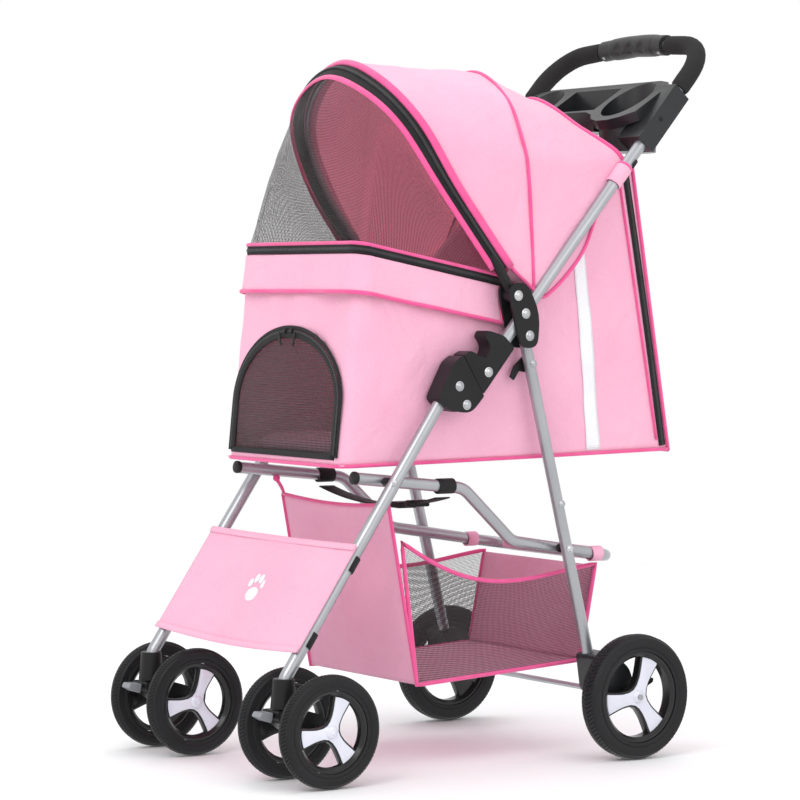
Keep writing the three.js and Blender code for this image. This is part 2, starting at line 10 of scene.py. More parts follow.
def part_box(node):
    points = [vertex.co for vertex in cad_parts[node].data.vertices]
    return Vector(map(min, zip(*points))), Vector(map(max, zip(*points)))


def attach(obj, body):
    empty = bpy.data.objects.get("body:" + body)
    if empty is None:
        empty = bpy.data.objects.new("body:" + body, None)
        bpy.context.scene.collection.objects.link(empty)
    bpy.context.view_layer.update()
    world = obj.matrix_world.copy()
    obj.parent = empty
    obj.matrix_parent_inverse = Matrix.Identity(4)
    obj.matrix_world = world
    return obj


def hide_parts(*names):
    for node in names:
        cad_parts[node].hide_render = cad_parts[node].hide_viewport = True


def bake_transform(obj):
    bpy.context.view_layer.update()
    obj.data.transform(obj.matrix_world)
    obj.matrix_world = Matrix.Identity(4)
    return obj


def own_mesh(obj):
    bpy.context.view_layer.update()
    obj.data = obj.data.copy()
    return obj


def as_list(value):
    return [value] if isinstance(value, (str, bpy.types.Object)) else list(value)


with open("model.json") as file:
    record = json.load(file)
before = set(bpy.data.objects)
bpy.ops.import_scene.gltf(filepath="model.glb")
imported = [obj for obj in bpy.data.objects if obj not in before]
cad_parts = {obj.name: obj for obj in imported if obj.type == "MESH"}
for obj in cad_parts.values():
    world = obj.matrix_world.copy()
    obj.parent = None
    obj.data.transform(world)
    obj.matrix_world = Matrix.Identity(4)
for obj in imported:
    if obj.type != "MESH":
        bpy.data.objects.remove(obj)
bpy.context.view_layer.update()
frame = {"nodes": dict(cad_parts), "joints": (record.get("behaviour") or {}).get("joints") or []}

scene = bpy.context.scene
joints = {joint["name"]: joint for joint in frame["joints"]}
axles = [joints[name]["pos_m"] for name in ("rear_wheel_left_spin", "front_wheel_outer_left_spin")]
midAxles = sum(axle[1] for axle in axles) / 2
sides = (("left", 1), ("right", -1))


# A place in millimetres, measured from halfway between the axles on the floor.
def mm(x, y, z):
    return Vector((x / 1000, y / 1000 + midAxles, z / 1000))


def pivot(name):
    x, y, z = joints[name]["pos_m"]
    return y * 1000 - midAxles * 1000, z * 1000


latchPivot = pivot("frame_fold")
hingePivot = pivot("rear_leg_fold")
hoodPivot = pivot("hood_fold")
barPivot = pivot("u_bar_fold")
handlePitch = math.atan2(*reversed(joints["latch_release_left"]["axis"][1:]))


# A point on the handle's plane: s along the tubes from the latch, t square to them.
def onHandle(s, t=0):
    y, z = latchPivot
    return (
        y + s * math.cos(handlePitch) - t * math.sin(handlePitch),
        z + s * math.sin(handlePitch) + t * math.cos(handlePitch),
    )


# ---- materials
def addNode(tree, kind, values=None, **settings):
    made = tree.nodes.new(kind)
    for name, value in settings.items():
        setattr(made, name, value)
    for name, value in (values or {}).items():
        if isinstance(value, bpy.types.NodeSocket):
            tree.links.new(value, made.inputs[name])
        else:
            made.inputs[name].default_value = value
    return made


def startMaterial(name, roughness, metallic=0, sheen=0, coat=0, gloss=0.5):
    material = bpy.data.materials.new(name)
    material.use_nodes = True
    shader = material.node_tree.nodes["Principled BSDF"]
    shader.inputs["Roughness"].default_value = roughness
    shader.inputs["Metallic"].default_value = metallic
    shader.inputs["Sheen Weight"].default_value = sheen
    shader.inputs["Sheen Roughness"].default_value = 0.5
    shader.inputs["Coat Weight"].default_value = coat
    shader.inputs["Specular IOR Level"].default_value = gloss
    shader.inputs["Coat Roughness"].default_value = 0.15
    return material, material.node_tree, shader


def mixColour(tree, factor, first, second):
    made = addNode(tree, "ShaderNodeMix", {0: factor}, data_type="RGBA")
    for slot, value in ((6, first), (7, second)):
        if isinstance(value, bpy.types.NodeSocket):
            tree.links.new(value, made.inputs[slot])
        else:
            made.inputs[slot].default_value = (*value, 1)
    return made.outputs[2]


def ramp(tree, value, low, high, toLow=0.0, toHigh=1.0):
    values = {"Value": value, "From Min": low, "From Max": high, "To Min": toLow, "To Max": toHigh}
    return addNode(tree, "ShaderNodeMapRange", values).outputs["Result"]


def bump(tree, height, strength, distance, under=None):
    values = {"Height": height, "Strength": strength, "Distance": distance}
    if under is not None:
        values["Normal"] = under
    return addNode(tree, "ShaderNodeBump", values).outputs["Normal"]


# The wave texture's scale that gives one band to each thread or rib of this width.
def waveScale(pitch):
    return 0.314 / pitch


# Woven cloth: threads both ways from the cloth's own map, soft creases and slow colour changes.
def clothMaterial(name, look):
    material, tree, shader = startMaterial(name, look["roughness"], sheen=look["sheen"])
    place = addNode(tree, "ShaderNodeTexCoord")
    threads = []
    scale = waveScale(look["thread"])
    for direction in "XY":
        values = {"Vector": place.outputs["UV"], "Scale": scale, "Distortion": 0.4, "Detail": 1}
        threads.append(addNode(tree, "ShaderNodeTexWave", values, bands_direction=direction).outputs["Fac"])
    weave = addNode(tree, "ShaderNodeMath", {0: threads[0], 1: threads[1]}, operation="MAXIMUM").outputs[0]
    slow = addNode(tree, "ShaderNodeTexNoise", {"Vector": place.outputs["Object"], "Scale": 7, "Detail": 4})
    fine = addNode(tree, "ShaderNodeTexNoise", {"Vector": place.outputs["Object"], "Scale": 420, "Detail": 2})
    values = {"Vector": place.outputs["Object"], "Scale": look["creaseScale"], "Detail": 5, "Distortion": 1.2}
    crease = addNode(tree, "ShaderNodeTexNoise", values)
    patch = ramp(tree, slow.outputs["Fac"], 0.35, 0.68)
    base = mixColour(tree, patch, look["colour"], look["second"])
    grain = ramp(tree, fine.outputs["Fac"], 0.3, 0.7, 0, look["mottle"])
    speckled = mixColour(tree, grain, base, look["deep"])
    woven = mixColour(tree, ramp(tree, weave, 0.75, 0.2, 0, look["mottle"]), speckled, look["deep"])
    tree.links.new(woven, shader.inputs["Base Color"])
    if "glow" in look:  # painted glow: a constant emission standing in for daylight that comes through the thin cloth
        shader.inputs["Emission Color"].default_value = (*look["colour"], 1)
        shader.inputs["Emission Strength"].default_value = look["glow"]
    rough = ramp(tree, slow.outputs["Fac"], 0.3, 0.7, look["roughness"] - 0.07, look["roughness"] + 0.06)
    tree.links.new(rough, shader.inputs["Roughness"])
    wide = bump(tree, crease.outputs["Fac"], look["crease"], 0.006)
    tree.links.new(bump(tree, weave, 0.35, 0.0002, wide), shader.inputs["Normal"])
    return material


# Open net: round threads with clear gaps between them.
def netMaterial(name, look):
    material, tree, shader = startMaterial(name, 0.6, sheen=0.2)
    place = addNode(tree, "ShaderNodeTexCoord")
    threads = []
    for direction, pitch in zip("XY", look["pitch"]):
        values = {"Vector": place.outputs["UV"], "Scale": waveScale(pitch), "Distortion": 0}
        threads.append(addNode(tree, "ShaderNodeTexWave", values, bands_direction=direction).outputs["Fac"])
    height = addNode(tree, "ShaderNodeMath", {0: threads[0], 1: threads[1]}, operation="MAXIMUM").outputs[0]
    level = (1 + math.cos(math.pi * look["threadShare"])) / 2
    solid = ramp(tree, height, level - 0.06, level + 0.06)
    slow = addNode(tree, "ShaderNodeTexNoise", {"Vector": place.outputs["Object"], "Scale": 30, "Detail": 3})
    colour = mixColour(tree, ramp(tree, slow.outputs["Fac"], 0.3, 0.7), look["colour"], look["second"])
    tree.links.new(colour, shader.inputs["Base Color"])
    tree.links.new(solid, shader.inputs["Alpha"])
    tree.links.new(bump(tree, height, 0.4, 0.0004), shader.inputs["Normal"])
    return material


# Tape and webbing: ribs across its length.
def tapeMaterial(name, look):
    material, tree, shader = startMaterial(
        name, look["roughness"], sheen=look["sheen"], gloss=look.get("gloss", 0.4))
    place = addNode(tree, "ShaderNodeTexCoord")
    values = {"Vector": place.outputs["UV"], "Scale": waveScale(look["rib"]), "Distortion": 0.8, "Detail": 2}
    ribs = addNode(tree, "ShaderNodeTexWave", values, bands_direction="Y").outputs["Fac"]
    slow = addNode(tree, "ShaderNodeTexNoise", {"Vector": place.outputs["Object"], "Scale": 45, "Detail": 4})
    base = mixColour(tree, ramp(tree, slow.outputs["Fac"], 0.3, 0.7), look["colour"], look["second"])
    ribbed = mixColour(tree, ramp(tree, ribs, 0.5, 0, 0, 0.35), base, look["deep"])
    tree.links.new(ribbed, shader.inputs["Base Color"])
    rough = ramp(tree, slow.outputs["Fac"], 0.3, 0.7, look["roughness"] - 0.08, look["roughness"] + 0.08)
    tree.links.new(rough, shader.inputs["Roughness"])
    tree.links.new(bump(tree, ribs, look["relief"], 0.0004), shader.inputs["Normal"])
    return material


# Moulded, painted and rubber finishes: fine grain, slow shade changes and uneven gloss.
def hardMaterial(name, look):
    material, tree, shader = startMaterial(
        name, look["roughness"], look.get("metallic", 0), coat=look.get("coat", 0),
        gloss=look.get("gloss", 0.5))
    place = addNode(tree, "ShaderNodeTexCoord")
    values = {"Vector": place.outputs["Object"], "Scale": look["grain"], "Detail": 3}
    grain = addNode(tree, "ShaderNodeTexNoise", values)
    slow = addNode(tree, "ShaderNodeTexNoise", {"Vector": place.outputs["Object"], "Scale": 16, "Detail": 5})
    patch = ramp(tree, slow.outputs["Fac"], 0.35, 0.7)
    base = mixColour(tree, patch, look["colour"], look["second"])
    grained = mixColour(tree, ramp(tree, grain.outputs["Fac"], 0.45, 0.75, 0, 0.3), base, look["deep"])
    tree.links.new(grained, shader.inputs["Base Color"])
    spread = look.get("spread", 0.08)
    rough = ramp(tree, slow.outputs["Fac"], 0.3, 0.7, look["roughness"] - spread, look["roughness"] + spread)
    tree.links.new(rough, shader.inputs["Roughness"])
    relief = bump(tree, grain.outputs["Fac"], look["relief"], look.get("depth", 0.0003))
    tree.links.new(relief, shader.inputs["Normal"])
    return material


pinkCloth = dict(colour=(0.87, 0.455, 0.60), second=(0.83, 0.41, 0.56), deep=(0.72, 0.28, 0.43),
                 thread=0.0011, mottle=0.22, roughness=0.75, sheen=0.15, crease=0.7, creaseScale=15)
hotTape = dict(colour=(0.82, 0.07, 0.27), second=(0.86, 0.11, 0.34), deep=(0.56, 0.03, 0.17),
               rib=0.0016, roughness=0.55, sheen=0.3, relief=0.5)
blackTape = dict(colour=(0.012, 0.012, 0.013), second=(0.022, 0.021, 0.023), deep=(0.004, 0.004, 0.004),
                 rib=0.0018, roughness=0.6, sheen=0.04, relief=0.7, gloss=0.2)
silverPaint = dict(colour=(0.44, 0.45, 0.475), second=(0.39, 0.40, 0.42), deep=(0.32, 0.33, 0.35),
                   roughness=0.33, metallic=0.75, grain=900, relief=0.08, spread=0.06)
blackPlastic = dict(colour=(0.009, 0.009, 0.010), second=(0.014, 0.014, 0.015), deep=(0.004, 0.004, 0.005),
                    roughness=0.38, grain=1400, relief=0.22, gloss=0.24)
charcoalPlastic = dict(colour=(0.014, 0.015, 0.017), second=(0.020, 0.021, 0.023), deep=(0.008, 0.008, 0.009),
                       roughness=0.34, grain=1100, relief=0.16, coat=0.12, gloss=0.35)
foam = dict(colour=(0.022, 0.021, 0.022), second=(0.030, 0.029, 0.030), deep=(0.008, 0.008, 0.008),
            roughness=0.88, grain=700, relief=0.7, depth=0.0006, gloss=0.2)
tyreRubber = dict(colour=(0.012, 0.012, 0.013), second=(0.018, 0.018, 0.020), deep=(0.006, 0.006, 0.007),
                  roughness=0.5, grain=500, relief=0.25, gloss=0.22)
lilacSilver = dict(colour=(0.74, 0.75, 0.84), second=(0.69, 0.70, 0.79), deep=(0.60, 0.61, 0.70),
                   roughness=0.34, metallic=0.15, grain=1200, relief=0.06, coat=0.3)

finishes = {
    "cloth": clothMaterial("pinkCloth", pinkCloth),
    # a darker copy of the pink cloth: painted shade for cloth inside the cabin
    "shade": clothMaterial("paintedShadePink", dict(
        pinkCloth, colour=(0.80, 0.34, 0.50), second=(0.76, 0.30, 0.46), deep=(0.60, 0.20, 0.34))),
    # a darker, redder copy of the pink cloth with a painted glow: emission standing in for daylight through
    # the hood's thin cloth
    "lining": clothMaterial("paintedGlowCloth", dict(
        pinkCloth, colour=(0.86, 0.30, 0.42), second=(0.82, 0.26, 0.38), deep=(0.66, 0.16, 0.26), glow=0.32)),
    "hot": tapeMaterial("hotPinkBinding", hotTape),
    "tape": tapeMaterial("blackTape", blackTape),
    "stripe": tapeMaterial("reflectiveStripe", dict(
        hotTape, colour=(0.86, 0.86, 0.88), second=(0.80, 0.80, 0.83), deep=(0.62, 0.62, 0.65),
        rib=0.0024, roughness=0.3, relief=0.2)),
    "zip": tapeMaterial("zipTeeth", dict(
        blackTape, colour=(0.03, 0.03, 0.032), second=(0.045, 0.045, 0.048),
        rib=0.0032, roughness=0.32, relief=1.0)),
    "net": netMaterial("blackNet", dict(
        colour=(0.012, 0.009, 0.010), second=(0.022, 0.016, 0.018),
        pitch=(0.0021, 0.0021), threadShare=0.17)),
    "doorNet": netMaterial("doorNet", dict(
        colour=(0.010, 0.008, 0.009), second=(0.018, 0.014, 0.015),
        pitch=(0.0030, 0.0034), threadShare=0.28)),
    "silver": hardMaterial("silverPaint", silverPaint),
    "black": hardMaterial("blackPlastic", blackPlastic),
    "charcoal": hardMaterial("charcoalPlastic", charcoalPlastic),
    "grey": hardMaterial("greyPlastic", dict(
        blackPlastic, colour=(0.26, 0.27, 0.29), second=(0.22, 0.23, 0.25), deep=(0.15, 0.16, 0.17))),
    "foam": hardMaterial("handleFoam", foam),
    "grip": hardMaterial("gripRubber", dict(
        foam, roughness=0.45, grain=1500, relief=0.3, depth=0.0003, gloss=0.4)),
    "tyre": hardMaterial("tyreRubber", tyreRubber),
    "rim": hardMaterial("rimPlastic", dict(blackPlastic, roughness=0.3, relief=0.12, coat=0.3)),
    "cover": hardMaterial("rimCover", lilacSilver),
    "rivet": hardMaterial("rivetSteel", dict(
        silverPaint, colour=(0.66, 0.66, 0.67), roughness=0.24, metallic=0.95)),
    "steel": hardMaterial("axleSteel", dict(silverPaint, roughness=0.28, metallic=0.95)),
    "board": hardMaterial("stiffBoard", dict(
        blackPlastic, colour=(0.25, 0.23, 0.24), second=(0.2, 0.19, 0.2), deep=(0.1, 0.1, 0.1),
        roughness=0.7)),
}
print("materials ready")


# ---- shared making
def finishPiece(bm, name, finish, body=None, replaces=(), sharp=None):
    mesh = bpy.data.meshes.new(name)
    bm.to_mesh(mesh)
    bm.free()
    mesh.polygons.foreach_set("use_smooth", [True] * len(mesh.polygons))
    if sharp:
        mesh.set_sharp_from_angle(angle=math.radians(sharp))
    piece = bpy.data.objects.new(name, mesh)
    scene.collection.objects.link(piece)
    mesh.materials.append(finishes[finish])
    if body:
        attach(piece, body)
    if replaces:
        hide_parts(*replaces)
    return piece


def shareSteps(count):
    return [k / count for k in range(count + 1)]


# Gives flat faces depth along a vector and turns the shell outwards.
def deepen(bm, faces, depth):
    made = bmesh.ops.extrude_face_region(bm, geom=faces)["geom"]
    bmesh.ops.translate(bm, vec=depth, verts=[part for part in made if isinstance(part, bmesh.types.BMVert)])
    bmesh.ops.recalc_face_normals(bm, faces=bm.faces[:])


def addFace(bm, points):
    return bm.faces.new([bm.verts.new(point) for point in points])


def roundEdges(bm, edges, offset, segments=2, clamp=False):
    bmesh.ops.bevel(bm, geom=edges, offset=offset, segments=segments, profile=0.5, material=-1,
                    affect="EDGES", clamp_overlap=clamp)


def sharpEdges(bm, degrees):
    return [edge for edge in bm.edges if edge.is_manifold and edge.calc_face_angle(0) > math.radians(degrees)]


# Closes a section into a loop and turns it once round the x axis.
def turnRing(section, steps):
    bm = bmesh.new()
    ring = [bm.verts.new(point) for point in section]
    edges = [bm.edges.new(pair) for pair in zip(ring, ring[1:] + ring[:1])]
    bmesh.ops.spin(bm, geom=ring + edges, cent=(0, 0, 0), axis=(1, 0, 0), angle=2 * math.pi,
                   steps=steps, use_merge=True)
    bmesh.ops.remove_doubles(bm, verts=bm.verts[:], dist=1e-6)
    bmesh.ops.recalc_face_normals(bm, faces=bm.faces[:])
    return bm


# Applies a piece's modifiers to its mesh.
def applyShape(piece):
    bpy.context.view_layer.update()
    done = bpy.data.meshes.new_from_object(piece.evaluated_get(bpy.context.evaluated_depsgraph_get()))
    piece.modifiers.clear()
    piece.data = done
    return done


def mirrored(points):
    return [Vector((-p.x, p.y, p.z)) for p in reversed(points)]


# The item at i with the one before it and the two after it.
def around(items, i):
    last = len(items) - 1
    return [items[max(0, min(last, i + k))] for k in (-1, 0, 1, 2)]


# A point on the smooth curve from b to c, with a and d as its neighbours.
def curveBetween(a, b, c, d, t):
    bend, twist = 2 * a - 5 * b + 4 * c - d, 3 * b - a - 3 * c + d
    return 0.5 * (2 * b + (c - a) * t + bend * t * t + twist * t ** 3)


# A grid whose every vertex goes where pointAt(u, v) says. Its map is in metres.
def mappedGrid(across, along, pointAt):
    bm = bmesh.new()
    layer = bm.loops.layers.uv.new("cloth")
    bmesh.ops.create_grid(bm, x_segments=across, y_segments=along, size=0.5)
    shares = {vert: (vert.co.x + 0.5, vert.co.y + 0.5) for vert in bm.verts}
    for vert, (u, v) in shares.items():
        vert.co = pointAt(min(max(u, 0), 1), min(max(v, 0), 1))
    rows = [pointAt(u, 0.5) for u in shareSteps(across)]
    columns = [pointAt(0.5, v) for v in shareSteps(along)]
    width = sum((b - a).length for a, b in zip(rows, rows[1:]))
    length = sum((b - a).length for a, b in zip(columns, columns[1:]))
    for face in bm.faces:
        for loop in face.loops:
            u, v = shares[loop.vert]
            loop[layer].uv = (u * width, v * length)
    return bm, width, length, shares


# Turns the faces outwards, away from a point inside.
def faceOut(bm, inside):
    bm.normal_update()
    lean = sum((face.calc_center_median() - inside).dot(face.normal) * face.calc_area() for face in bm.faces)
    if lean < 0:
        bmesh.ops.reverse_faces(bm, faces=bm.faces[:])
        bm.normal_update()


# Soft hollows and folds that die out towards the sheet's edges.
def creaseSheet(bm, shares, depth, scale, seed, reach=0.18):
    shift = Vector((seed, seed * 0.37, seed * 0.71))
    moves = {}
    for vert in bm.verts:
        u, v = shares[vert]
        edge = min(u, 1 - u, v, 1 - v) / reach
        hold = min(1, max(0, edge))
        wave = noise.fractal(vert.co * scale + shift, 0.9, 2.1, 3)
        moves[vert] = vert.normal * wave * depth * hold
    for vert, move in moves.items():
        vert.co += move


def makeSheet(name, finish, shape, body=None, replaces=()):
    bm, width, length, shares = mappedGrid(*shape["grid"], shape["pointAt"])
    faceOut(bm, shape["inside"])
    if "crease" in shape:
        creaseSheet(bm, shares, *shape["crease"])
    area = sum(face.calc_area() for face in bm.faces)
    bmesh.ops.solidify(bm, geom=bm.faces[:], thickness=shape.get("thick", 0.0016))
    piece = finishPiece(bm, name, finish, body, replaces)
    wide = max(width, area / length)
    shape.get("held", "stretched")
    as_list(shape["on"])
    return piece


def smoothPath(points, step=0.008):
    line = []
    for i in range(len(points) - 1):
        near = around(points, i)
        count = max(1, round((near[2] - near[1]).length / step))
        line += [curveBetween(*near, k / count) for k in range(count)]
    return line + [points[-1]]


# Straight runs with a rounded bend at each inner corner (place, radius in metres).
def bentPath(corners, step=0.012, arcSteps=9):
    line = []
    for i, (corner, radius) in enumerate(corners):
        if i in (0, len(corners) - 1) or radius == 0:
            line.append(corner)
            continue
        before = (corners[i - 1][0] - corner).normalized()
        after = (corners[i + 1][0] - corner).normalized()
        half = before.angle(after) / 2
        start = corner + before * (radius / math.tan(half))
        middle = corner + (before + after).normalized() * (radius / math.sin(half))
        axis = after.cross(before).normalized()
        for k in range(arcSteps + 1):
            turn = Matrix.Rotation((math.pi - 2 * half) * k / arcSteps, 3, axis)
            line.append(middle + turn @ (start - middle))
    dense = []
    for a, b in zip(line, line[1:]):
        count = max(1, round((b - a).length / step))
        dense += [a.lerp(b, k / count) for k in range(count)]
    return dense + [line[-1]]


def roundProfile(radius, count=16):
    turns = [2 * math.pi * k / count for k in range(count)]
    return [(radius * math.cos(turn), radius * math.sin(turn)) for turn in turns]


# A tape's section: wide, thin, with a rounded edge each side.
def tapeProfile(width, height):
    w, h = width / 2, height / 2
    r = min(w, h) * 0.7
    upper = [(w, h - r), (w - r, h), (0, h * 1.04), (r - w, h), (-w, h - r)]
    return [(w, -h + r), *upper, (-w, r - h), (r - w, -h), (0, -h), (w - r, -h)]


# Carries a section along a path, kept square to it, with its height along the given normal.
def sweep(path, profile, normal=Vector((0, 0, 1)), loop=False, shapeAt=None):
    count, last = len(profile), len(path) - (0 if loop else 1)
    stations = []
    for i, point in enumerate(path):
        before = path[i - 1] if i or loop else point
        after = path[(i + 1) % len(path)] if loop or i < len(path) - 1 else point
        tangent = (after - before).normalized()
        up = normal(point) if callable(normal) else normal
        up = (up - up.dot(tangent) * tangent).normalized()
        stations.append((point, tangent.cross(up), up))

    def pointAt(u, v):
        i, j = round(u * count) % count, round(v * last) % len(path)
        point, side, up = stations[j]
        a, b = profile[i]
        if shapeAt:
            a, b = shapeAt(a, b, j / last, point)
        return point + side * a + up * b

    bm = mappedGrid(count, last, pointAt)[0]
    bmesh.ops.remove_doubles(bm, verts=bm.verts[:], dist=1e-6)
    if not loop:
        ends = [edge for edge in bm.edges if edge.is_boundary]
        bmesh.ops.holes_fill(bm, edges=ends, sides=0)
    bmesh.ops.recalc_face_normals(bm, faces=bm.faces[:])
    return bm


def addShape(bm, other):
    mesh = bpy.data.meshes.new("part")
    other.to_mesh(mesh)
    other.free()
    bm.from_mesh(mesh)
    bpy.data.meshes.remove(mesh)


acrossFrame, upright = Matrix.Rotation(math.pi / 2, 4, "Y"), Matrix.Identity(4)


def pointed(direction):
    return direction.to_track_quat("Z", "Y").to_matrix().to_4x4()


# A rod or taper with rounded rims.
def addRod(bm, centre, radius, length, turn=acrossFrame, segments=20, edge=0.0006, second=None):
    rod = bmesh.new()
    bmesh.ops.create_cone(rod, cap_ends=True, segments=segments, depth=length,
                          radius1=radius, radius2=radius if second is None else second)
    if edge:
        rims = [e for e in rod.edges if abs(e.verts[0].co.z - e.verts[1].co.z) < 1e-9]
        roundEdges(rod, rims, edge)
    bmesh.ops.transform(rod, matrix=Matrix.Translation(centre) @ turn, verts=rod.verts[:])
    addShape(bm, rod)


# A domed rivet head on a thin washer, facing along x.
def addRivet(bm, centre, facing, radius=0.0052):
    head = bmesh.new()
    bmesh.ops.create_uvsphere(head, u_segments=20, v_segments=10, radius=radius)
    bmesh.ops.transform(head, matrix=Matrix.Diagonal((0.5, 1, 1, 1)), verts=head.verts[:])
    bmesh.ops.translate(head, vec=centre, verts=head.verts[:])
    addShape(bm, head)
    addRod(bm, centre, radius * 1.25, 0.0012, segments=24, edge=0.0004)


# A carried-over plastic piece with its edges rounded.
def softenCad(node, finish, body, width):
    bm = bmesh.new()
    bm.from_mesh(frame["nodes"][node].data)
    bmesh.ops.remove_doubles(bm, verts=bm.verts[:], dist=2e-5)
    bmesh.ops.dissolve_limit(bm, angle_limit=math.radians(2), verts=bm.verts[:], edges=bm.edges[:])
    roundEdges(bm, sharpEdges(bm, 25), width, clamp=True)
    for layer in list(bm.loops.layers.uv.values()):
        bm.loops.layers.uv.remove(layer)
    piece = finishPiece(bm, node + "_moulded", finish, body, [node], sharp=50)
    weighted = piece.modifiers.new("evenShade", "WEIGHTED_NORMAL")
    weighted.keep_sharp = True
    return piece


# ---- wheels
wheelLook = {"blocks": 46, "groove": 0.0011, "armTurn": math.radians(68), "armHalf": 0.26, "waist": 0.24,
             "cover": 0.0014, "cap": 0.0095}


def makeTyre(name, centre, radius, width, rim, node, body):
    half, groove = width / 2, wheelLook["groove"]
    outer = radius - groove
    profile = [
        (rim, -half * 0.8), (rim + 0.004, -half * 0.92), (rim + 0.0055, -half * 0.84),
        (outer - 0.010, -half), (outer - 0.004, -half * 0.93), (outer - 0.0016, -half * 0.7),
        (outer, 0), (outer - 0.0016, half * 0.7),
        (outer - 0.004, half * 0.93), (outer - 0.010, half), (rim + 0.0055, half * 0.84),
        (rim + 0.004, half * 0.92), (rim, half * 0.8),
    ]
    twist = math.pi / wheelLook["blocks"]
    section = []
    for r, x in profile:
        turn = twist * (1 - min(1, abs(x) / (half * 0.7))) if r > outer - 0.002 else 0
        section.append((x, r * math.cos(turn), r * math.sin(turn)))
    bm = turnRing(section, wheelLook["blocks"] * 2)
    tread = [f for f in bm.faces if all(math.hypot(v.co.y, v.co.z) > outer - 0.0018 for v in f.verts)]
    bmesh.ops.inset_individual(bm, faces=tread, thickness=0.0009, depth=groove)
    bmesh.ops.translate(bm, vec=centre, verts=bm.verts[:])
    return finishPiece(bm, name, "tyre", body, [node], sharp=35)


def heading(turn):
    return Vector((math.cos(turn), math.sin(turn), 0)), Vector((-math.sin(turn), math.cos(turn), 0))


# The three-armed outline of a wheel's spokes, grown by a margin.
def armOutline(reach, margin):
    half, waist = wheelLook["armHalf"] * reach + margin, wheelLook["waist"] * reach + margin
    tipAngle = math.asin(half / reach)
    kneeOut, kneeWide = 0.46 * reach, half * 0.62 + margin * 0.3
    points = []
    for arm in range(3):
        turn = wheelLook["armTurn"] + arm * 2 * math.pi / 3
        along, across = heading(turn)
        nextAlong, nextAcross = heading(turn + 2 * math.pi / 3)
        tip = [along * reach * math.cos(tipAngle * k / 3) + across * reach * math.sin(tipAngle * k / 3)
               for k in (-3, -1.5, 0, 1.5, 3)]
        curve = [
            tip[-1], along * kneeOut + across * kneeWide, heading(turn + math.pi / 3)[0] * waist,
            nextAlong * kneeOut - nextAcross * kneeWide,
            nextAlong * reach * math.cos(tipAngle) - nextAcross * reach * math.sin(tipAngle),
        ]
        points += tip + smoothPath(curve, reach / 7)[1:-1]
    return points


def addArms(bm, reach, margin, low, high, edge):
    part = bmesh.new()
    face = addFace(part, [(low, p.x, p.y) for p in armOutline(reach, margin)])
    deepen(part, [face], (high - low, 0, 0))
    level = [e for e in part.edges if abs(e.verts[0].co.x - e.verts[1].co.x) < 1e-9]
    rims = [e for e in level if e.calc_face_angle(0) > 1]
    roundEdges(part, rims, edge)
    addShape(bm, part)


def makeRim(name, centre, width, rim, facing, node, body):
    half = width * 0.36
    reach = rim - 0.0075
    profile = [(rim - 0.0006, -half), (rim - 0.0006, half), (rim - 0.0035, half + 0.0006),
               (reach, half - 0.0035), (reach - 0.0006, 0), (reach, -half + 0.0035),
               (rim - 0.0035, -half - 0.0006)]
    bm = turnRing([(x, r, 0) for r, x in profile], 72)
    web = half * 0.55
    addArms(bm, reach + 0.001, 0.0022, -web, web, 0.0008)
    addRod(bm, Vector((0, 0, 0)), 0.0125, web * 2 + 0.001, segments=40, edge=0.001)
    addRod(bm, Vector((-facing * half * 0.7, 0, 0)), 0.0115, half * 0.6, segments=40, edge=0.001)
    bmesh.ops.translate(bm, vec=centre, verts=bm.verts[:])
    finishPiece(bm, name, "rim", body, [node], sharp=35)
    cover = bmesh.new()
    low, high = sorted((facing * web, facing * (web + wheelLook["cover"])))
    addArms(cover, reach - 0.0006, -0.0004, low, high, 0.0006)
    cap = bmesh.new()
    bmesh.ops.create_uvsphere(cap, u_segments=24, v_segments=12, radius=wheelLook["cap"])
    seat = Matrix.Translation((facing * web, 0, 0)) @ Matrix.Diagonal((0.55, 1, 1, 1))
    bmesh.ops.transform(cap, matrix=seat, verts=cap.verts[:])
    addShape(cover, cap)
    bmesh.ops.translate(cover, vec=centre, verts=cover.verts[:])
    finishPiece(cover, name + "_cover", "cover", body, sharp=35)


wheels = (("rear", "rear", "", 1), ("frontOuter", "front", "outer_", 1),
          ("frontInner", "front", "inner_", -1))
for side, sign in sides:
    for label, kind, place, outwards in wheels:
        tyreNode, rimNode, body = (f"{kind}_{part}_{place}{side}" for part in ("tyre", "rim", "wheel"))
        low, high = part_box(tyreNode)
        rimLow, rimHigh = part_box(rimNode)
        centre = (low + high) / 2
        radius, width, rim = (high.z - low.z) / 2, high.x - low.x, (rimHigh.z - rimLow.z) / 2
        makeTyre(f"{label}Tyre_{side}", centre, radius, width, rim, tyreNode, body)
        makeRim(f"{label}Rim_{side}", centre, width, rim, sign * outwards, rimNode, body)
print("wheels made")


# ---- frame tubes
frameLook = {"leg": 0.0085, "rearLeg": 0.008, "bar": 0.008, "legX": 168, "barX": 144.5}


def finishMetal(bm, name, body, replaces):
    return finishPiece(bm, name, "silver", body, replaces, sharp=50)


def finishRivets(bm, name, body):
    finishPiece(bm, name, "rivet", body, sharp=60)


def addTube(bm, corners, radius):
    side = Vector((0.31, 0.55, 0.12)).normalized()
    addShape(bm, sweep(bentPath(corners), roundProfile(radius, 20), side))


def makeFrontLegs():
    x = frameLook["legX"]
    for side, sign in sides:
        bm = bmesh.new()
        corners = [(mm(sign * x, -22, 521), 0), (mm(sign * x, -285, 135), 0.03), (mm(sign * x, -285, 112), 0)]
        addTube(bm, corners, frameLook["leg"])
        finishMetal(bm, f"frontLeg_{side}", "front_frame", [f"front_leg_{side}"])
        spacer = bmesh.new()
        addRod(spacer, mm(sign * 158.5, -122, 382), 0.006, 0.0105)
        finishPiece(spacer, f"barSpacer_{side}", "black", "front_frame", sharp=40)
        rivets = bmesh.new()
        addRivet(rivets, mm(sign * (x + 8.6), -122, 382), sign, 0.004)
        finishRivets(rivets, f"legRivet_{side}", "front_frame")


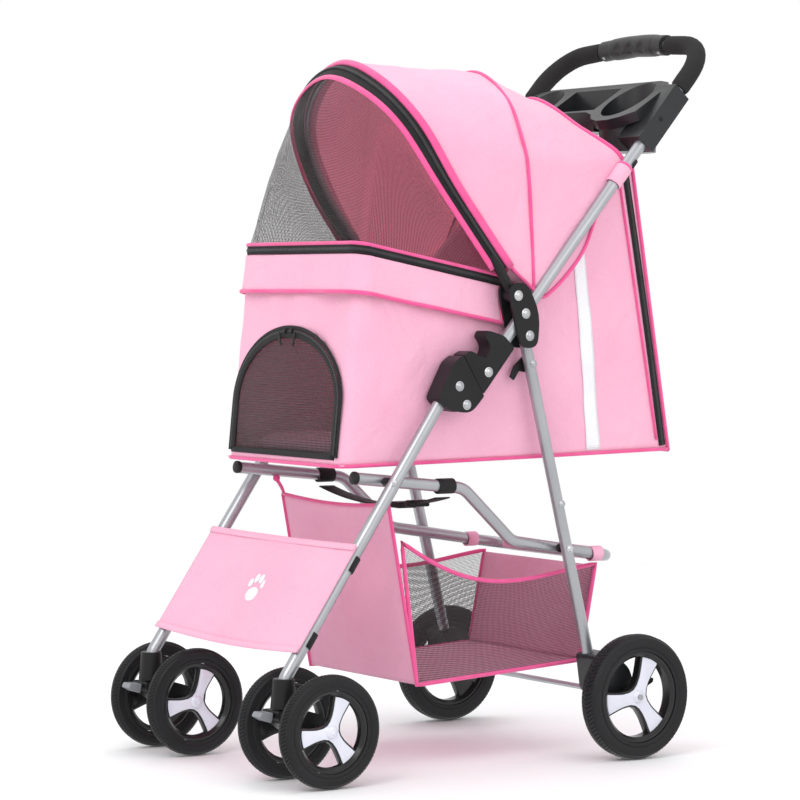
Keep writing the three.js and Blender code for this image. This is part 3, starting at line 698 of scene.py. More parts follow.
def makeRearLegs():
    x = frameLook["legX"]
    (hy, hz), foot = hingePivot, Vector((214.4, 100))
    along = (foot - Vector((hy, hz))).normalized()
    top = Vector((hy, hz)) - along * 6.5
    for side, sign in sides:
        bm = bmesh.new()
        addTube(bm, [(mm(sign * x, *top), 0), (mm(sign * x, *foot), 0)], frameLook["rearLeg"])
        finishMetal(bm, f"rearLeg_{side}", "rear_frame", [f"rear_leg_{side}"])
        spacer = bmesh.new()
        addRod(spacer, mm(sign * 157, *barPivot), 0.0065, 0.0085)
        # a small hook plate inside the leg's top
        hook = [(0, 12), (-9, 4), (-20, -6), (-26, -20), (-20, -24), (-12, -12), (0, -14)]
        plate = bmesh.new()
        face = addFace(plate, [mm(sign * (x - 9), 101 + a, 537 + b) for a, b in hook])
        deepen(plate, [face], (-sign * 0.003, 0, 0))
        addShape(spacer, plate)
        finishPiece(spacer, f"rearLegFittings_{side}", "black", "rear_frame", sharp=40)
        rivets = bmesh.new()
        for place in ((101, 535), (151, 346), barPivot):
            addRivet(rivets, mm(sign * (x + 7.8), *place), sign, 0.0042)
        finishRivets(rivets, f"rearLegRivets_{side}", "rear_frame")


def makeUBar():
    arm = [(-161, 387), (9, 370), (91, 296), (272, 268)]
    corners = [(mm(frameLook["barX"], y, z), 0.042 if i == 3 else 0.034) for i, (y, z) in enumerate(arm)]
    corners += [(Vector((-p.x, p.y, p.z)), r) for p, r in reversed(corners)]
    bm = bmesh.new()
    addTube(bm, corners, frameLook["bar"])
    finishMetal(bm, "uBarTube", "u_bar_frame", ["u_bar"])
    for side, sign in sides:
        plug = bmesh.new()
        low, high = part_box(f"bar_plug_{side}")
        centre = (low + high) / 2
        lean = Vector((0, -1, 0.103)).normalized()
        addRod(plug, centre, 0.0086, 0.006, pointed(lean), 24, 0.0014)
        finishPiece(plug, f"barPlug_{side}", "black", "u_bar_frame", [f"bar_plug_{side}"],
                    sharp=40)


handleLook = {"tube": 0.0085, "side": 648, "top": 664, "bend": 0.062, "topBend": 0.42,
              "foam": 0.0132, "foamFrom": 564, "grip": 73, "gripRadius": 0.0133,
              "dent": 0.21, "dents": (-0.027, 0.0, 0.027), "dentHalf": (0.0115, 0.62), "collar": 0.026}


def handlePath(start, step=0.006):
    x = frameLook["legX"]
    corners = [(mm(x, *onHandle(start)), 0), (mm(x, *onHandle(handleLook["side"])), handleLook["bend"]),
               (mm(0, *onHandle(handleLook["top"])), handleLook["topBend"])]
    corners += [(Vector((-p.x, p.y, p.z)), r) for p, r in reversed(corners[:2])]
    return bentPath(corners, step)


def makeHandle():
    squareOff = Vector((0, -math.sin(handlePitch), math.cos(handlePitch)))
    bm = sweep(handlePath(-6, 0.012), roundProfile(handleLook["tube"], 20), squareOff)
    finishMetal(bm, "handleTube", "handle_frame", ["handle_tube"])
    path = handlePath(handleLook["foamFrom"])
    grip = handleLook["grip"] / 1000
    for side, sign in sides:
        part = [p for p in path if p.x * sign > grip + 0.0005]

        def rounded(a, b, share, point):
            end = min(share, 1 - share) * len(part) * 0.006
            k = 0.86 + 0.14 * min(1, end / 0.004) ** 0.5
            lump = 1 + 0.012 * noise.noise(point * 60)
            return a * k * lump, b * k * lump

        bm = sweep(part, roundProfile(handleLook["foam"], 24), squareOff, shapeAt=rounded)
        finishPiece(bm, f"foamSleeve_{side}", "foam", "handle_frame", [f"foam_sleeve_{side}"],
                    sharp=50)
    middle = [p for p in path if abs(p.x) < grip]
    fine = [a.lerp(b, t) for a, b in zip(middle, middle[1:]) for t in (0, 0.34, 0.67)] + [middle[-1]]

    # collars at the ends, a fuller middle and three diamond dents front and back
    def dented(a, b, share, point):
        end = min(share, 1 - share) * 2 * grip
        angle = math.atan2(b, a)
        collar = handleLook["collar"]
        palm = 0.6 + 0.4 * math.cos(angle - math.radians(200))
        k = 1.10 if end < collar - 0.002 else 1.14
        k -= 0.07 * max(0, 1 - abs(end - collar) / 0.003)
        k += 0.10 * math.sin(math.pi * min(1, max(0, (end - collar) / 0.05))) ** 0.7 * palm
        long, round = handleLook["dentHalf"]
        for middleX in handleLook["dents"]:
            for face in (math.radians(140), math.radians(-40)):
                turn = (angle - face + math.pi) % (2 * math.pi) - math.pi
                inside = 1 - abs(point.x - middleX) / long - abs(turn) / round
                k -= handleLook["dent"] * min(1, max(0, inside * 2.4))
        return a * k, b * k

    bm = sweep(fine, roundProfile(handleLook["gripRadius"], 40), squareOff, shapeAt=dented)
    finishPiece(bm, "centreGrip", "grip", "handle_frame", ["centre_grip"], sharp=40)
    screws = bmesh.new()
    ahead = Vector((0, -math.cos(handlePitch), -math.sin(handlePitch)))
    for x in (-0.061, 0.061):
        place = min(fine, key=lambda p: abs(p.x - x))
        addRod(screws, place + ahead * 0.0146, 0.0026, 0.0014, pointed(ahead), 14, 0.0003)
    finishPiece(screws, "gripScrews", "steel", "handle_frame", sharp=40)


makeFrontLegs()
makeRearLegs()
makeUBar()
makeHandle()
print("tubes made")


# ---- moulded parts
mouldings = {
    "latch_housing": ("black", "front_frame", "black_plastic", 0.0016),
    "latch_slide": ("black", "latch_slide_{}", "black_plastic", 0.0016),
    "caster_socket": ("black", "front_frame", "black_plastic", 0.0012),
    "caster_fork": ("black", "caster_{}", "black_plastic", 0.0014),
    "swivel_lock": ("grey", "swivel_lock_{}", "grey_plastic", 0.0008),
    "brake_housing": ("charcoal", "rear_frame", "charcoal_plastic", 0.0014),
    "brake_pedal": ("charcoal", "brake_pedal_{}", "charcoal_plastic", 0.0012),
    "hinge_plate_outer": ("black", "handle_frame", "black_plastic", 0.0014),
    "hinge_plate_inner": ("black", "handle_frame", "black_plastic", 0.0010),
    "hood_socket": ("black", "hood", "black_plastic", 0.0008),
}
for node, (finish, body, slot, width) in mouldings.items():
    for side, sign in sides:
        softenCad(f"{node}_{side}", finish, body.format(side), width)


trayLook = {"cupX": 104, "cupY": 315, "cup": 39.5, "foot": 36, "wall": 3.2, "floor": 829,
            "deckFront": (271, 871), "deckRear": (357, 926.5), "thick": 15, "clamp": (48, 98, 31),
            "inward": 12, "clampAt": 511, "pocket": (52, 25), "edge": 0.003}


# A block of a size in metres, carried to its place by a matrix.
def addBlock(bm, size, place, edge=0, segments=2):
    block = bmesh.new()
    bmesh.ops.create_cube(block, size=1)
    bmesh.ops.transform(block, matrix=place @ Matrix.Diagonal((*size, 1)), verts=block.verts[:])
    if edge:
        roundEdges(block, block.edges[:], edge, segments)
    addShape(bm, block)


def leanedBox(size, place, pitch):
    box = bmesh.new()
    addBlock(box, [n / 1000 for n in size], Matrix.Translation(place) @ Matrix.Rotation(pitch, 4, "X"))
    return box


# The tray: a sloping deck with two cups and a pocket, moulded in one with its tube clamps.
def makeTray():
    look = trayLook
    (y0, z0), (y1, z1) = look["deckFront"], look["deckRear"]
    slope = math.atan2(z1 - z0, y1 - y0)
    lid = Vector((0, -math.sin(slope), math.cos(slope)))
    half = [(0, 293), (40, 291), (58, 285), (74, 273), (92, 267.5), (116, 267.5), (136, 273), (158, 284),
            (158, 340), (146, 352), (124, 357), (0, 357)]
    plan = half + [(-x, y) for x, y in reversed(half[1:-1])]
    solid = bmesh.new()
    face = addFace(solid, [mm(x, y, z0 + (y - y0) * math.tan(slope)) for x, y in plan])
    deepen(solid, [face], lid * -look["thick"] / 1000)
    cutter = bmesh.new()
    low, high = look["floor"] / 1000, 0.94
    for x in (-look["cupX"], look["cupX"]):
        spot = mm(x, look["cupY"], (look["floor"] + 940) / 2)
        outerFoot, outerTop = ((look[key] + look["wall"]) / 1000 for key in ("foot", "cup"))
        addRod(solid, spot - Vector((0, 0, 0.0015)), outerFoot, high - low + 0.003, upright, 48, 0, outerTop)
        addRod(cutter, spot + Vector((0, 0, 0.001)), look["foot"] / 1000, high - low + 0.001, upright, 48, 0,
               look["cup"] / 1000)
    wide, deep = look["pocket"]
    addShape(solid, leanedBox((2 * wide + 10, 2 * deep + 8, 84), mm(0, 321, 898), 0))
    addShape(cutter, leanedBox((2 * wide, 2 * deep, 84), mm(0, 321, 902), 0))
    above = leanedBox((400, 240, 100), mm(0, (y0 + y1) / 2, (z0 + z1) / 2) + lid * 0.05, slope)
    bores = bmesh.new()
    clamps = bmesh.new()
    along = Vector((0, math.cos(handlePitch), math.sin(handlePitch)))
    for side, sign in sides:
        spot = mm(sign * frameLook["legX"], *onHandle(look["clampAt"]))
        inner = spot - Vector((sign * look["inward"] / 1000, 0, 0))
        addShape(clamps, leanedBox(look["clamp"], inner, handlePitch))
        addRod(bores, spot, 0.0088, 0.14, pointed(along), 32, 0)
    piece = finishPiece(solid, "trayMoulded", "charcoal", "handle_frame", ["tray"])
    steps = ((above, "trayAbove"), (clamps, "trayClamps"), (cutter, "trayHollows"), (bores, "trayBores"))
    tools = [finishPiece(part, name, "charcoal") for part, name in steps]
    for tool, operation in zip(tools, ("DIFFERENCE", "UNION", "DIFFERENCE", "DIFFERENCE")):
        step = piece.modifiers.new(tool.name, "BOOLEAN")
        step.object = tool
        step.operation = operation
        step.solver = "EXACT"
        step.use_self = True
    done = applyShape(piece)
    for tool in tools:
        bpy.data.objects.remove(tool)
    bm = bmesh.new()
    bm.from_mesh(done)
    bmesh.ops.remove_doubles(bm, verts=bm.verts[:], dist=2e-5)
    bmesh.ops.dissolve_limit(bm, angle_limit=math.radians(2), verts=bm.verts[:], edges=bm.edges[:])
    roundEdges(bm, sharpEdges(bm, 28), look["edge"], 3, clamp=True)
    bm.to_mesh(done)
    bm.free()
    done.polygons.foreach_set("use_smooth", [True] * len(done.polygons))
    done.set_sharp_from_angle(angle=math.radians(50))
    piece.modifiers.new("evenShade", "WEIGHTED_NORMAL").keep_sharp = True


makeTray()


def makeFittings():
    x = frameLook["legX"]
    for side, sign in sides:
        bm = bmesh.new()
        for place in (hingePivot, (82.7, 601.8), hoodPivot):
            addRivet(bm, mm(sign * (x + 13.6), *place), sign, 0.0056)
        finishRivets(bm, f"hingeRivets_{side}", "handle_frame")
        bm = bmesh.new()
        addRivet(bm, mm(sign * (x + 15.2), *latchPivot), sign, 0.0054)
        addRivet(bm, mm(sign * (x + 15.2), -25.6, 506.3), sign, 0.0054)
        finishRivets(bm, f"latchRivets_{side}", "front_frame")
        bm = bmesh.new()
        addRivet(bm, mm(sign * (x + 13.2), *onHandle(56, 0)), sign, 0.0054)
        finishRivets(bm, f"slideRivet_{side}", f"latch_slide_{side}")
        bm = bmesh.new()
        addRod(bm, mm(sign * (x + 12.2), *onHandle(506, 3)), 0.0032, 0.0016, segments=16, edge=0.0004)
        finishPiece(bm, f"trayScrew_{side}", "black", "handle_frame", sharp=50)


makeFittings()
for node in ("rear_axle", "front_axle_left", "front_axle_right"):
    held = frame["nodes"][node]
    held.data.materials.clear()
    held.data.materials.append(finishes["steel"])
    held.data.polygons.foreach_set("use_smooth", [True] * len(held.data.polygons))
    held.data.set_sharp_from_angle(angle=math.radians(40))
print("moulded parts made")


# ---- strips shared by the soft goods
anyWay = Vector((0.21, 0.37, 0.9)).normalized()  # a direction that no round strip runs along


def makePiping(name, path, body, radius=0.0024, loop=False):
    bm = sweep(path, roundProfile(radius, 10), anyWay, loop)
    return finishPiece(bm, name, "hot", body)


def makeTape(name, path, width, body, normal, height=0.0022, finish="tape"):
    return finishPiece(sweep(path, tapeProfile(width, height), normal), name, finish, body)


# A zip: two tapes with a raised row of teeth between them.
def makeZip(name, path, width, body, normal):
    raised = [p + (normal(p) if callable(normal) else normal) * 0.001 for p in path]
    return (makeTape(name, path, width, body, normal, 0.002),
            makeTape(name + "_teeth", raised, width * 0.36, body, normal, 0.0022, "zip"))


# A loop of tape round a tube, or over part of it where the turns are given.
def tapeRound(centre, across, radius, width, height=0.0014, turns=None):
    whole = [2 * math.pi * k / 24 for k in range(24)]
    aside = Vector((1, 0, 0))
    ring = [centre + (aside * math.cos(a) + across * math.sin(a)) * radius for a in turns or whole]
    return sweep(ring, tapeProfile(width, height), lambda p: (p - centre).normalized(), loop=not turns)


# ---- cabin
cabin = {"half": 0.142, "corner": 0.018, "bulge": 0.0045, "frontBulge": 0.003,
         "foot": ((-184, 401), (362, 413)), "floorSlope": math.atan2(12, 546), "wall": 0.0018}
rimLine = [(0.0, -157, 690), (0.40, 40, 655), (0.56, 118, 640), (1.0, 290, 815)]
cabinCentre = mm(0, 60, 560)


# Top of the cabin's side at a share of the way from the front to the back.
def rimAt(share):
    for (s0, y0, z0), (s1, y1, z1) in zip(rimLine, rimLine[1:]):
        if share <= s1 + 1e-9:
            break
    t = min(1, (share - s0) / (s1 - s0))
    return y0 + (y1 - y0) * t, z0 + (z1 - z0) * t


def sidePoint(share, height, proud=0):
    (y0, z0), (y1, z1) = cabin["foot"]
    top = Vector(rimAt(share))
    low = Vector((y0 + (y1 - y0) * share, z0 + (z1 - z0) * share))
    y, z = low.lerp(top, height)
    fullest = math.sin(math.pi * height) ** 0.8 * math.sin(math.pi * min(1, share * 1.02 + 0.02)) ** 0.6
    swell = cabin["bulge"] * fullest
    place = mm(0, y, z)
    place.x = cabin["half"] + swell + proud
    return place


# The wrap's plan: back along one side, round a corner, across the front and back along the other side.
def wrapPoint(u, height, proud=0.0):
    sideShare, cornerShare = 0.36, 0.04
    mirror = 1 if u <= 0.5 else -1
    w = u if u <= 0.5 else 1 - u
    corner = cabin["corner"]
    start = corner / 0.546
    if w < sideShare:
        share = 1 - (w / sideShare) * (1 - start)
        place = sidePoint(share, height, proud)
    elif w < sideShare + cornerShare:
        turn = (w - sideShare) / cornerShare * math.pi / 2
        place = sidePoint(0, height)
        place.x = cabin["half"] - corner + (corner + proud) * math.cos(turn)
        place.y += corner - (corner + proud) * math.sin(turn)
        blend = sidePoint(start, height)
        place.z += (blend.z - place.z) * (1 - math.sin(turn))
    else:
        across = (w - sideShare - cornerShare) / (0.5 - sideShare - cornerShare)
        place = sidePoint(0, height)
        place.x = (cabin["half"] - corner) * (1 - across)
        place.y -= proud + cabin["frontBulge"] * math.sin(math.pi * height) * across ** 0.7
    place.x *= mirror
    return place


def squashCabin(piece):
    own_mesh(piece)
    return piece


def cabinPiping(name, path, radius=0.0024):
    squashCabin(makePiping(name, path, "handle_frame", radius))


doorLook = {"half": 0.1265, "foot": 0.014, "spring": 0.080, "rise": 0.095, "frontSlope": math.atan2(27, 289)}


# The arched doorway's edge on the front wall, from one foot to the other.
def archLine(grow=0.0, proud=0.0, count=40):
    half, foot, spring, rise = (doorLook[key] for key in ("half", "foot", "spring", "rise"))
    flat = [(half + grow, foot - grow * 0.4), (half + grow, (foot + spring) / 2), (half + grow, spring)]
    turns = [math.pi * k / count for k in range(1, count)]
    flat += [((half + grow) * math.cos(a), spring + (rise + grow) * math.sin(a)) for a in turns]
    flat += [(-x, z) for x, z in reversed(flat[:3])]
    return [onFront(x, z, proud) for x, z in flat]


def onFront(x, up, proud=0.0):
    slope = doorLook["frontSlope"]
    foot = mm(0, *cabin["foot"][0])
    height = up * math.cos(slope) / 0.289
    level = 1 - min(1, abs(x) / (cabin["half"] - cabin["corner"]))
    swell = cabin["frontBulge"] * math.sin(math.pi * min(1, max(0, height))) * level ** 0.7
    y = foot.y + up * math.sin(slope) - proud * math.cos(slope) - swell
    return Vector((x, y, foot.z + up * math.cos(slope) + proud * math.sin(slope)))


def makeCabinWalls():
    bm, width, length, shares = mappedGrid(168, 30, wrapPoint)
    faceOut(bm, cabinCentre)
    creaseSheet(bm, shares, 0.0052, 8, 3.1, 0.10)
    area = sum(face.calc_area() for face in bm.faces)
    bmesh.ops.solidify(bm, geom=bm.faces[:], thickness=cabin["wall"])
    walls = finishPiece(bm, "cabinWalls", "cloth", None, ["cabin_tub"])
    cutter = bmesh.new()
    deepen(cutter, [addFace(cutter, archLine(proud=0.03))], (0, 0.06, 0))
    tool = finishPiece(cutter, "doorwayCutter", "cloth")
    opening = walls.modifiers.new("doorway", "BOOLEAN")
    opening.object = tool
    opening.operation = "DIFFERENCE"
    opening.solver = "EXACT"
    done = applyShape(walls)
    bpy.data.objects.remove(tool)
    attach(walls, "handle_frame")
    squashCabin(walls)
    return BVHTree.FromPolygons([v.co for v in done.vertices], [f.vertices for f in done.polygons])


# The cabin's back edge in millimetres, from its foot up to the handle.
def backEdge(v):
    return 362 - 72 * v, 413 + 402 * v


def makeCabinBack():
    def pointAt(u, v):
        y, z = backEdge(v)
        place = mm(0, y + 5 * math.sin(math.pi * v) * math.sin(math.pi * u), z)
        place.x = cabin["half"] * (1 - 2 * u)
        return place

    shape = {"grid": (30, 40), "pointAt": pointAt, "inside": cabinCentre, "crease": (0.004, 8, 5.2),
             "on": ["cabinWalls"]}
    squashCabin(makeSheet("cabinBack", "cloth", shape, "handle_frame"))

    def floorAt(u, v):
        sag = 3 * math.sin(math.pi * u) * math.sin(math.pi * v)
        place = mm(0, -182 + 542 * v, 402.5 + 11.5 * v - sag)
        place.x = (cabin["half"] - 0.001) * (1 - 2 * u)
        return place

    shape = {"grid": (24, 40), "pointAt": floorAt, "inside": cabinCentre, "crease": (0.003, 8, 1.2),
             "on": ["cabinWalls"]}
    squashCabin(makeSheet("cabinFloor", "cloth", shape, "handle_frame"))


def makeCabinTrim():
    # piping round the foot, along the back edges and beside the back zips
    foot = [wrapPoint(t, 0.004, 0.001) for t in shareSteps(100)]
    cabinPiping("footPiping", foot)
    for side, sign in sides:
        edge = [mm(sign * 143, *backEdge(t)) for t in shareSteps(30)]
        cabinPiping(f"backPiping_{side}", edge, 0.0026)
        zipEdge = [mm(sign * 143.2, 351 - 72 * t + 1.5 * math.sin(math.pi * t), 420 + 380 * t)
                   for t in shareSteps(30)]
        for piece in makeZip(f"backZip_{side}", zipEdge, 0.011, "handle_frame", Vector((sign, 0, 0))):
            squashCabin(piece)
        seam = [mm(sign * 144, 340 - 72 * t, 428 + 362 * t) for t in shareSteps(30)]
        cabinPiping(f"backSeam_{side}", seam, 0.0018)

        # reflective stripe down the side
        def stripeAt(u, v):
            place = sidePoint(0.735 + 0.045 * u, 0.02 + 0.965 * v)
            place.x = sign * 0.2
            hit = wallTree.ray_cast(place, Vector((-sign, 0, 0)))[0]
            place.x = (hit.x if hit else sign * cabin["half"]) + sign * 0.0012
            return place

        shape = {"grid": (4, 40), "pointAt": stripeAt, "inside": cabinCentre, "thick": 0.0006,
                 "on": ["cabinWalls"]}
        squashCabin(makeSheet(f"sideStripe_{side}", "stripe", shape, "handle_frame"))

    foot = mm(0, *backEdge(0))
    line = [Vector((cabin["half"] * (1 - 2 * t), foot.y + 0.001, foot.z)) for t in shareSteps(20)]
    cabinPiping("backFootPiping", line)


def makeValance():
    # a flap hung all round the front, with a bound lower edge
    drop, lengthShare, underRim = 0.050, 0.204, 0.0125

    def pointAt(u, v):
        w = lengthShare + (1 - 2 * lengthShare) * u
        top = wrapPoint(w, 1.0, 0.0035)
        below = wrapPoint(w, 0.6, 0.0035)
        down = (below - top).normalized()
        wave = 0.0022 * math.sin(23 * u) * v + 0.0016 * math.sin(51 * u + 1) * v * v
        out = (wrapPoint(w, 0.8, 0.01) - wrapPoint(w, 0.8, 0)).normalized()
        return top + down * drop * v + out * (0.0012 + 0.004 * v * v + wave) - Vector((0, 0, underRim))

    shape = {"grid": (150, 12), "pointAt": pointAt, "inside": cabinCentre, "thick": 0.0014,
             "held": "hung", "on": ["cabinWalls"]}
    squashCabin(makeSheet("valance", "cloth", shape, "handle_frame"))
    hem = [pointAt(t, 1.0) + Vector((0, 0, 0.001)) for t in shareSteps(150)]
    cabinPiping("valanceHem", hem, 0.0028)
    for side, u in (("left", 0.0), ("right", 1.0)):
        end = [pointAt(u, v) for v in shareSteps(8)]
        cabinPiping(f"valanceEnd_{side}", end, 0.0018)


def makeRimZip():
    # part of the rim: where it starts, how far it stands proud and how far below the edge it lies
    def alongRim(start, proud, below):
        drop = Vector((0, 0, below))
        return [wrapPoint(start + (1 - 2 * start) * t, 1.0, proud) - drop for t in shareSteps(120)]

    def normal(point):
        out = Vector((point.x, min(0, point.y - mm(0, -60, 0).y) * 1.2, 0))
        if abs(point.x) > cabin["half"] - 0.004:
            out.y = 0
        elif point.y < mm(0, -150, 0).y and abs(point.x) < cabin["half"] - 0.016:
            out = Vector((0, -1, 0))
        return out.normalized()

    for piece in makeZip("rimZip", alongRim(0.196, 0.002, 0.0055), 0.012, "handle_frame", normal):
        squashCabin(piece)
    cabinPiping("rimPiping", alongRim(0.16, 0.002, -0.002), 0.0026)
    # a flat metal band between the wall and the valance, bare only beside the hinges
    bm = sweep(alongRim(0.164, 0.0024, 0.0215), tapeProfile(0.014, 0.0012), normal)
    squashCabin(finishMetal(bm, "rimBand", "handle_frame", ["rim_band"]))


def makeDoor():
    half, foot, spring, rise = (doorLook[key] for key in ("half", "foot", "spring", "rise"))

    def pointAt(u, v):
        x = (half - 0.003) * math.sin(math.pi * (u - 0.5))
        top = spring + (rise - 0.003) * math.sqrt(max(0, 1 - (x / half) ** 2))
        swell = 0.003 * math.sin(math.pi * u) * math.sin(math.pi * v)
        return onFront(x, foot + 0.002 + (top - foot - 0.002) * v, 0.0005 + swell)

    bm = mappedGrid(40, 24, pointAt)[0]
    layer = bm.loops.layers.uv.active
    for face in bm.faces:
        for loop in face.loops:
            loop[layer].uv = (loop.vert.co.x, loop.vert.co.z)
    faceOut(bm, cabinCentre)
    area = sum(face.calc_area() for face in bm.faces)
    bmesh.ops.remove_doubles(bm, verts=bm.verts[:], dist=1e-5)
    bmesh.ops.solidify(bm, geom=bm.faces[:], thickness=0.0005)
    net = finishPiece(bm, "doorNet", "doorNet", "door", ["front_door"])
    squashCabin(net)
    slope = doorLook["frontSlope"]
    out = Vector((0, -math.cos(slope), math.sin(slope)))
    sill = [onFront(half * (1 - 2 * t), foot - 0.001, 0.0018) for t in shareSteps(20)]
    bound, zipped, taped = (smoothPath(archLine(*edge), 0.006)
                            for edge in ((-0.0035, 0.0022), (0.0005, 0.0030), (0.0052, 0.0018)))
    for name, path, width, body, height, finish in (
            ("doorBinding", bound, 0.0095, "door", 0.0026, "tape"),
            ("doorZipTeeth", zipped, 0.0035, "door", 0.0020, "zip"),
            ("doorSill", sill, 0.008, "door", 0.002, "tape"),
            ("doorwayTape", taped, 0.0055, "handle_frame", 0.0018, "tape")):
        squashCabin(makeTape(name, path, width, body, out, height, finish))
    # two sliders with pull tabs at the top of the arch
    bm = bmesh.new()
    for x in (-0.008, 0.008):
        top = onFront(x, spring + rise + 0.0005, 0.0052)
        addRod(bm, top, 0.0034, 0.0030, pointed(out), 12)
        hang = Matrix.Translation(top + Vector((x * 1.1, -0.0022, -0.011))) @ Matrix.Rotation(x * 40, 4, "Y")
        addBlock(bm, (0.0052, 0.0012, 0.019), hang, 0.0005)
    squashCabin(finishPiece(bm, "doorSliders", "black", "door", sharp=45))


# The stiff board under the pad.
def makeBoard():
    low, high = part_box("floor_board")
    slope = cabin["floorSlope"]
    size = high - low
    bm = bmesh.new()
    bmesh.ops.create_cube(bm, size=1)
    turn = Matrix.Translation((low + high) / 2) @ Matrix.Rotation(slope, 4, "X")
    bmesh.ops.subdivide_edges(bm, edges=bm.edges[:], cuts=7, use_grid_fill=True)
    size.z = max(size.z - size.y * math.tan(slope), 0.002)
    bmesh.ops.transform(bm, matrix=turn @ Matrix.Diagonal((*size, 1)), verts=bm.verts[:])
    roundEdges(bm, [e for e in bm.edges if e.calc_face_angle(0) > 1], 0.0007)
    squashCabin(finishPiece(bm, "floorBoard", "board", "handle_frame", ["floor_board"], sharp=40))


def makeCushion():
    low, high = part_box("cushion")
    look = {"inset": 0.01, "thick": 0.016, "edge": 0.007, "remesh": 0.006, "pressure": 4.0, "most": 0.007,
            "flatBelow": -0.0095, "channel": 0.42, "channelHalf": 0.03}
    bm = bmesh.new()
    size = high - low
    addBlock(bm, (size.x - look["inset"], size.y - look["inset"], look["thick"]), upright, look["edge"], 3)
    # the pad takes the darker pink copy of the cloth: painted shade
    pad = finishPiece(bm, "cushionPad", "shade")
    remesh = pad.modifiers.new("even", "REMESH")
    remesh.mode = "VOXEL"
    remesh.voxel_size = look["remesh"]
    start = [v.co.copy() for v in applyShape(pad).vertices]
    cloth = pad.modifiers.new("swell", "CLOTH")
    cloth.settings.use_pressure = True
    cloth.settings.uniform_pressure_force = look["pressure"]
    cloth.settings.effector_weights.gravity = 0
    for frameNumber in range(1, 21):
        scene.frame_set(frameNumber)
    applyShape(pad)
    scene.frame_set(1)
    for vert, rest in zip(pad.data.vertices, start):
        move = vert.co - rest
        if move.length > look["most"]:
            vert.co = rest + move.normalized() * look["most"]
    # quilted channels across the pad, then the pad laid on the sloping floor
    lay = Matrix.Translation((low + high) / 2) @ Matrix.Rotation(cabin["floorSlope"], 4, "X")
    halfWide, halfLong = size.x / 2 - 0.0005, size.y / 2 - 0.0005
    for vert in pad.data.vertices:
        for channel in (-1, 0, 1):
            gap = abs(vert.co.y - channel * size.y / 4) / look["channelHalf"]
            if gap < 1:
                vert.co.z *= 1 - look["channel"] * (1 - gap) ** 2
        vert.co.x = max(-halfWide, min(halfWide, vert.co.x))
        vert.co.y = max(-halfLong, min(halfLong, vert.co.y))
        vert.co.z = max(look["flatBelow"], vert.co.z)
        vert.co = lay @ vert.co
    pad.data.polygons.foreach_set("use_smooth", [True] * len(pad.data.polygons))
    finer = pad.modifiers.new("finer", "SUBSURF")
    finer.levels = finer.render_levels = 1
    if not pad.data.materials:
        pad.data.materials.append(finishes["shade"])
    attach(pad, "handle_frame")
    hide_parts("cushion")
    squashCabin(pad)


wallTree = makeCabinWalls()
makeCabinBack()
makeCabinTrim()
makeValance()
makeRimZip()
makeDoor()
makeBoard()
makeCushion()
print("cabin made")


# ---- hood: ribs from the front hoop to the back edge, each from one side over the top to the other
hoodRibs = [
    (0.00, [(165, 68, 664), (162, -12, 763), (142, -61, 850), (82, -86, 908), (0, -92, 934)]),
    (0.16, [(166, 78, 655), (163, 20, 768), (147, -22, 845), (88, -40, 907), (0, -44, 938)]),
    (0.34, [(167, 92, 644), (163, 60, 772), (149, 42, 838), (96, 36, 900), (0, 38, 938)]),
    (0.50, [(168, 105, 634), (162, 100, 776), (151, 97, 831), (100, 105, 894), (0, 119, 933)]),
    (0.62, [(168, 127, 627), (163, 135, 772), (153, 138, 826), (104, 146, 884), (0, 158, 922)]),
    (0.76, [(166, 185, 681), (162, 183, 780), (154, 186, 822), (108, 187, 872), (0, 192, 912)]),
    (0.88, [(164, 219, 749), (161, 220, 793), (154, 222, 820), (112, 212, 862), (0, 211, 906)]),
    (1.00, [(161, 262, 806), (158, 260, 815), (146, 252, 829), (104, 234, 855), (0, 223, 901)]),
]
hoodCentre = mm(0, 60, 740)
hoodLook = {"slack": 0.004, "inside": 0.0075, "hoop": 0.004, "band": 0.003, "netBulge": 0.002}


def curveThrough(points, t):
    last = len(points) - 1
    place = min(max(t, 0), 1) * last
    i = min(int(place), last - 1)
    return curveBetween(*around(points, i), place - i)


def ribPoints(v):
    for i, ((v0, _), (v1, _)) in enumerate(zip(hoodRibs, hoodRibs[1:])):
        if v <= v1 + 1e-9:
            break
    near = [rib for _, rib in around(hoodRibs, i)]
    return [curveBetween(*map(Vector, places), (v - v0) / (v1 - v0)) for places in zip(*near)]


def hoodPoint(u, v, proud=0.0):
    half = ribPoints(v)
    place = mm(*curveThrough(half + mirrored(half[:-1]), u))
    if proud:
        place += (place - hoodCentre).normalized() * proud
    return place


def fromHood(point):
    return (point - hoodCentre).normalized()


def blendHood(piece):
    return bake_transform(piece)


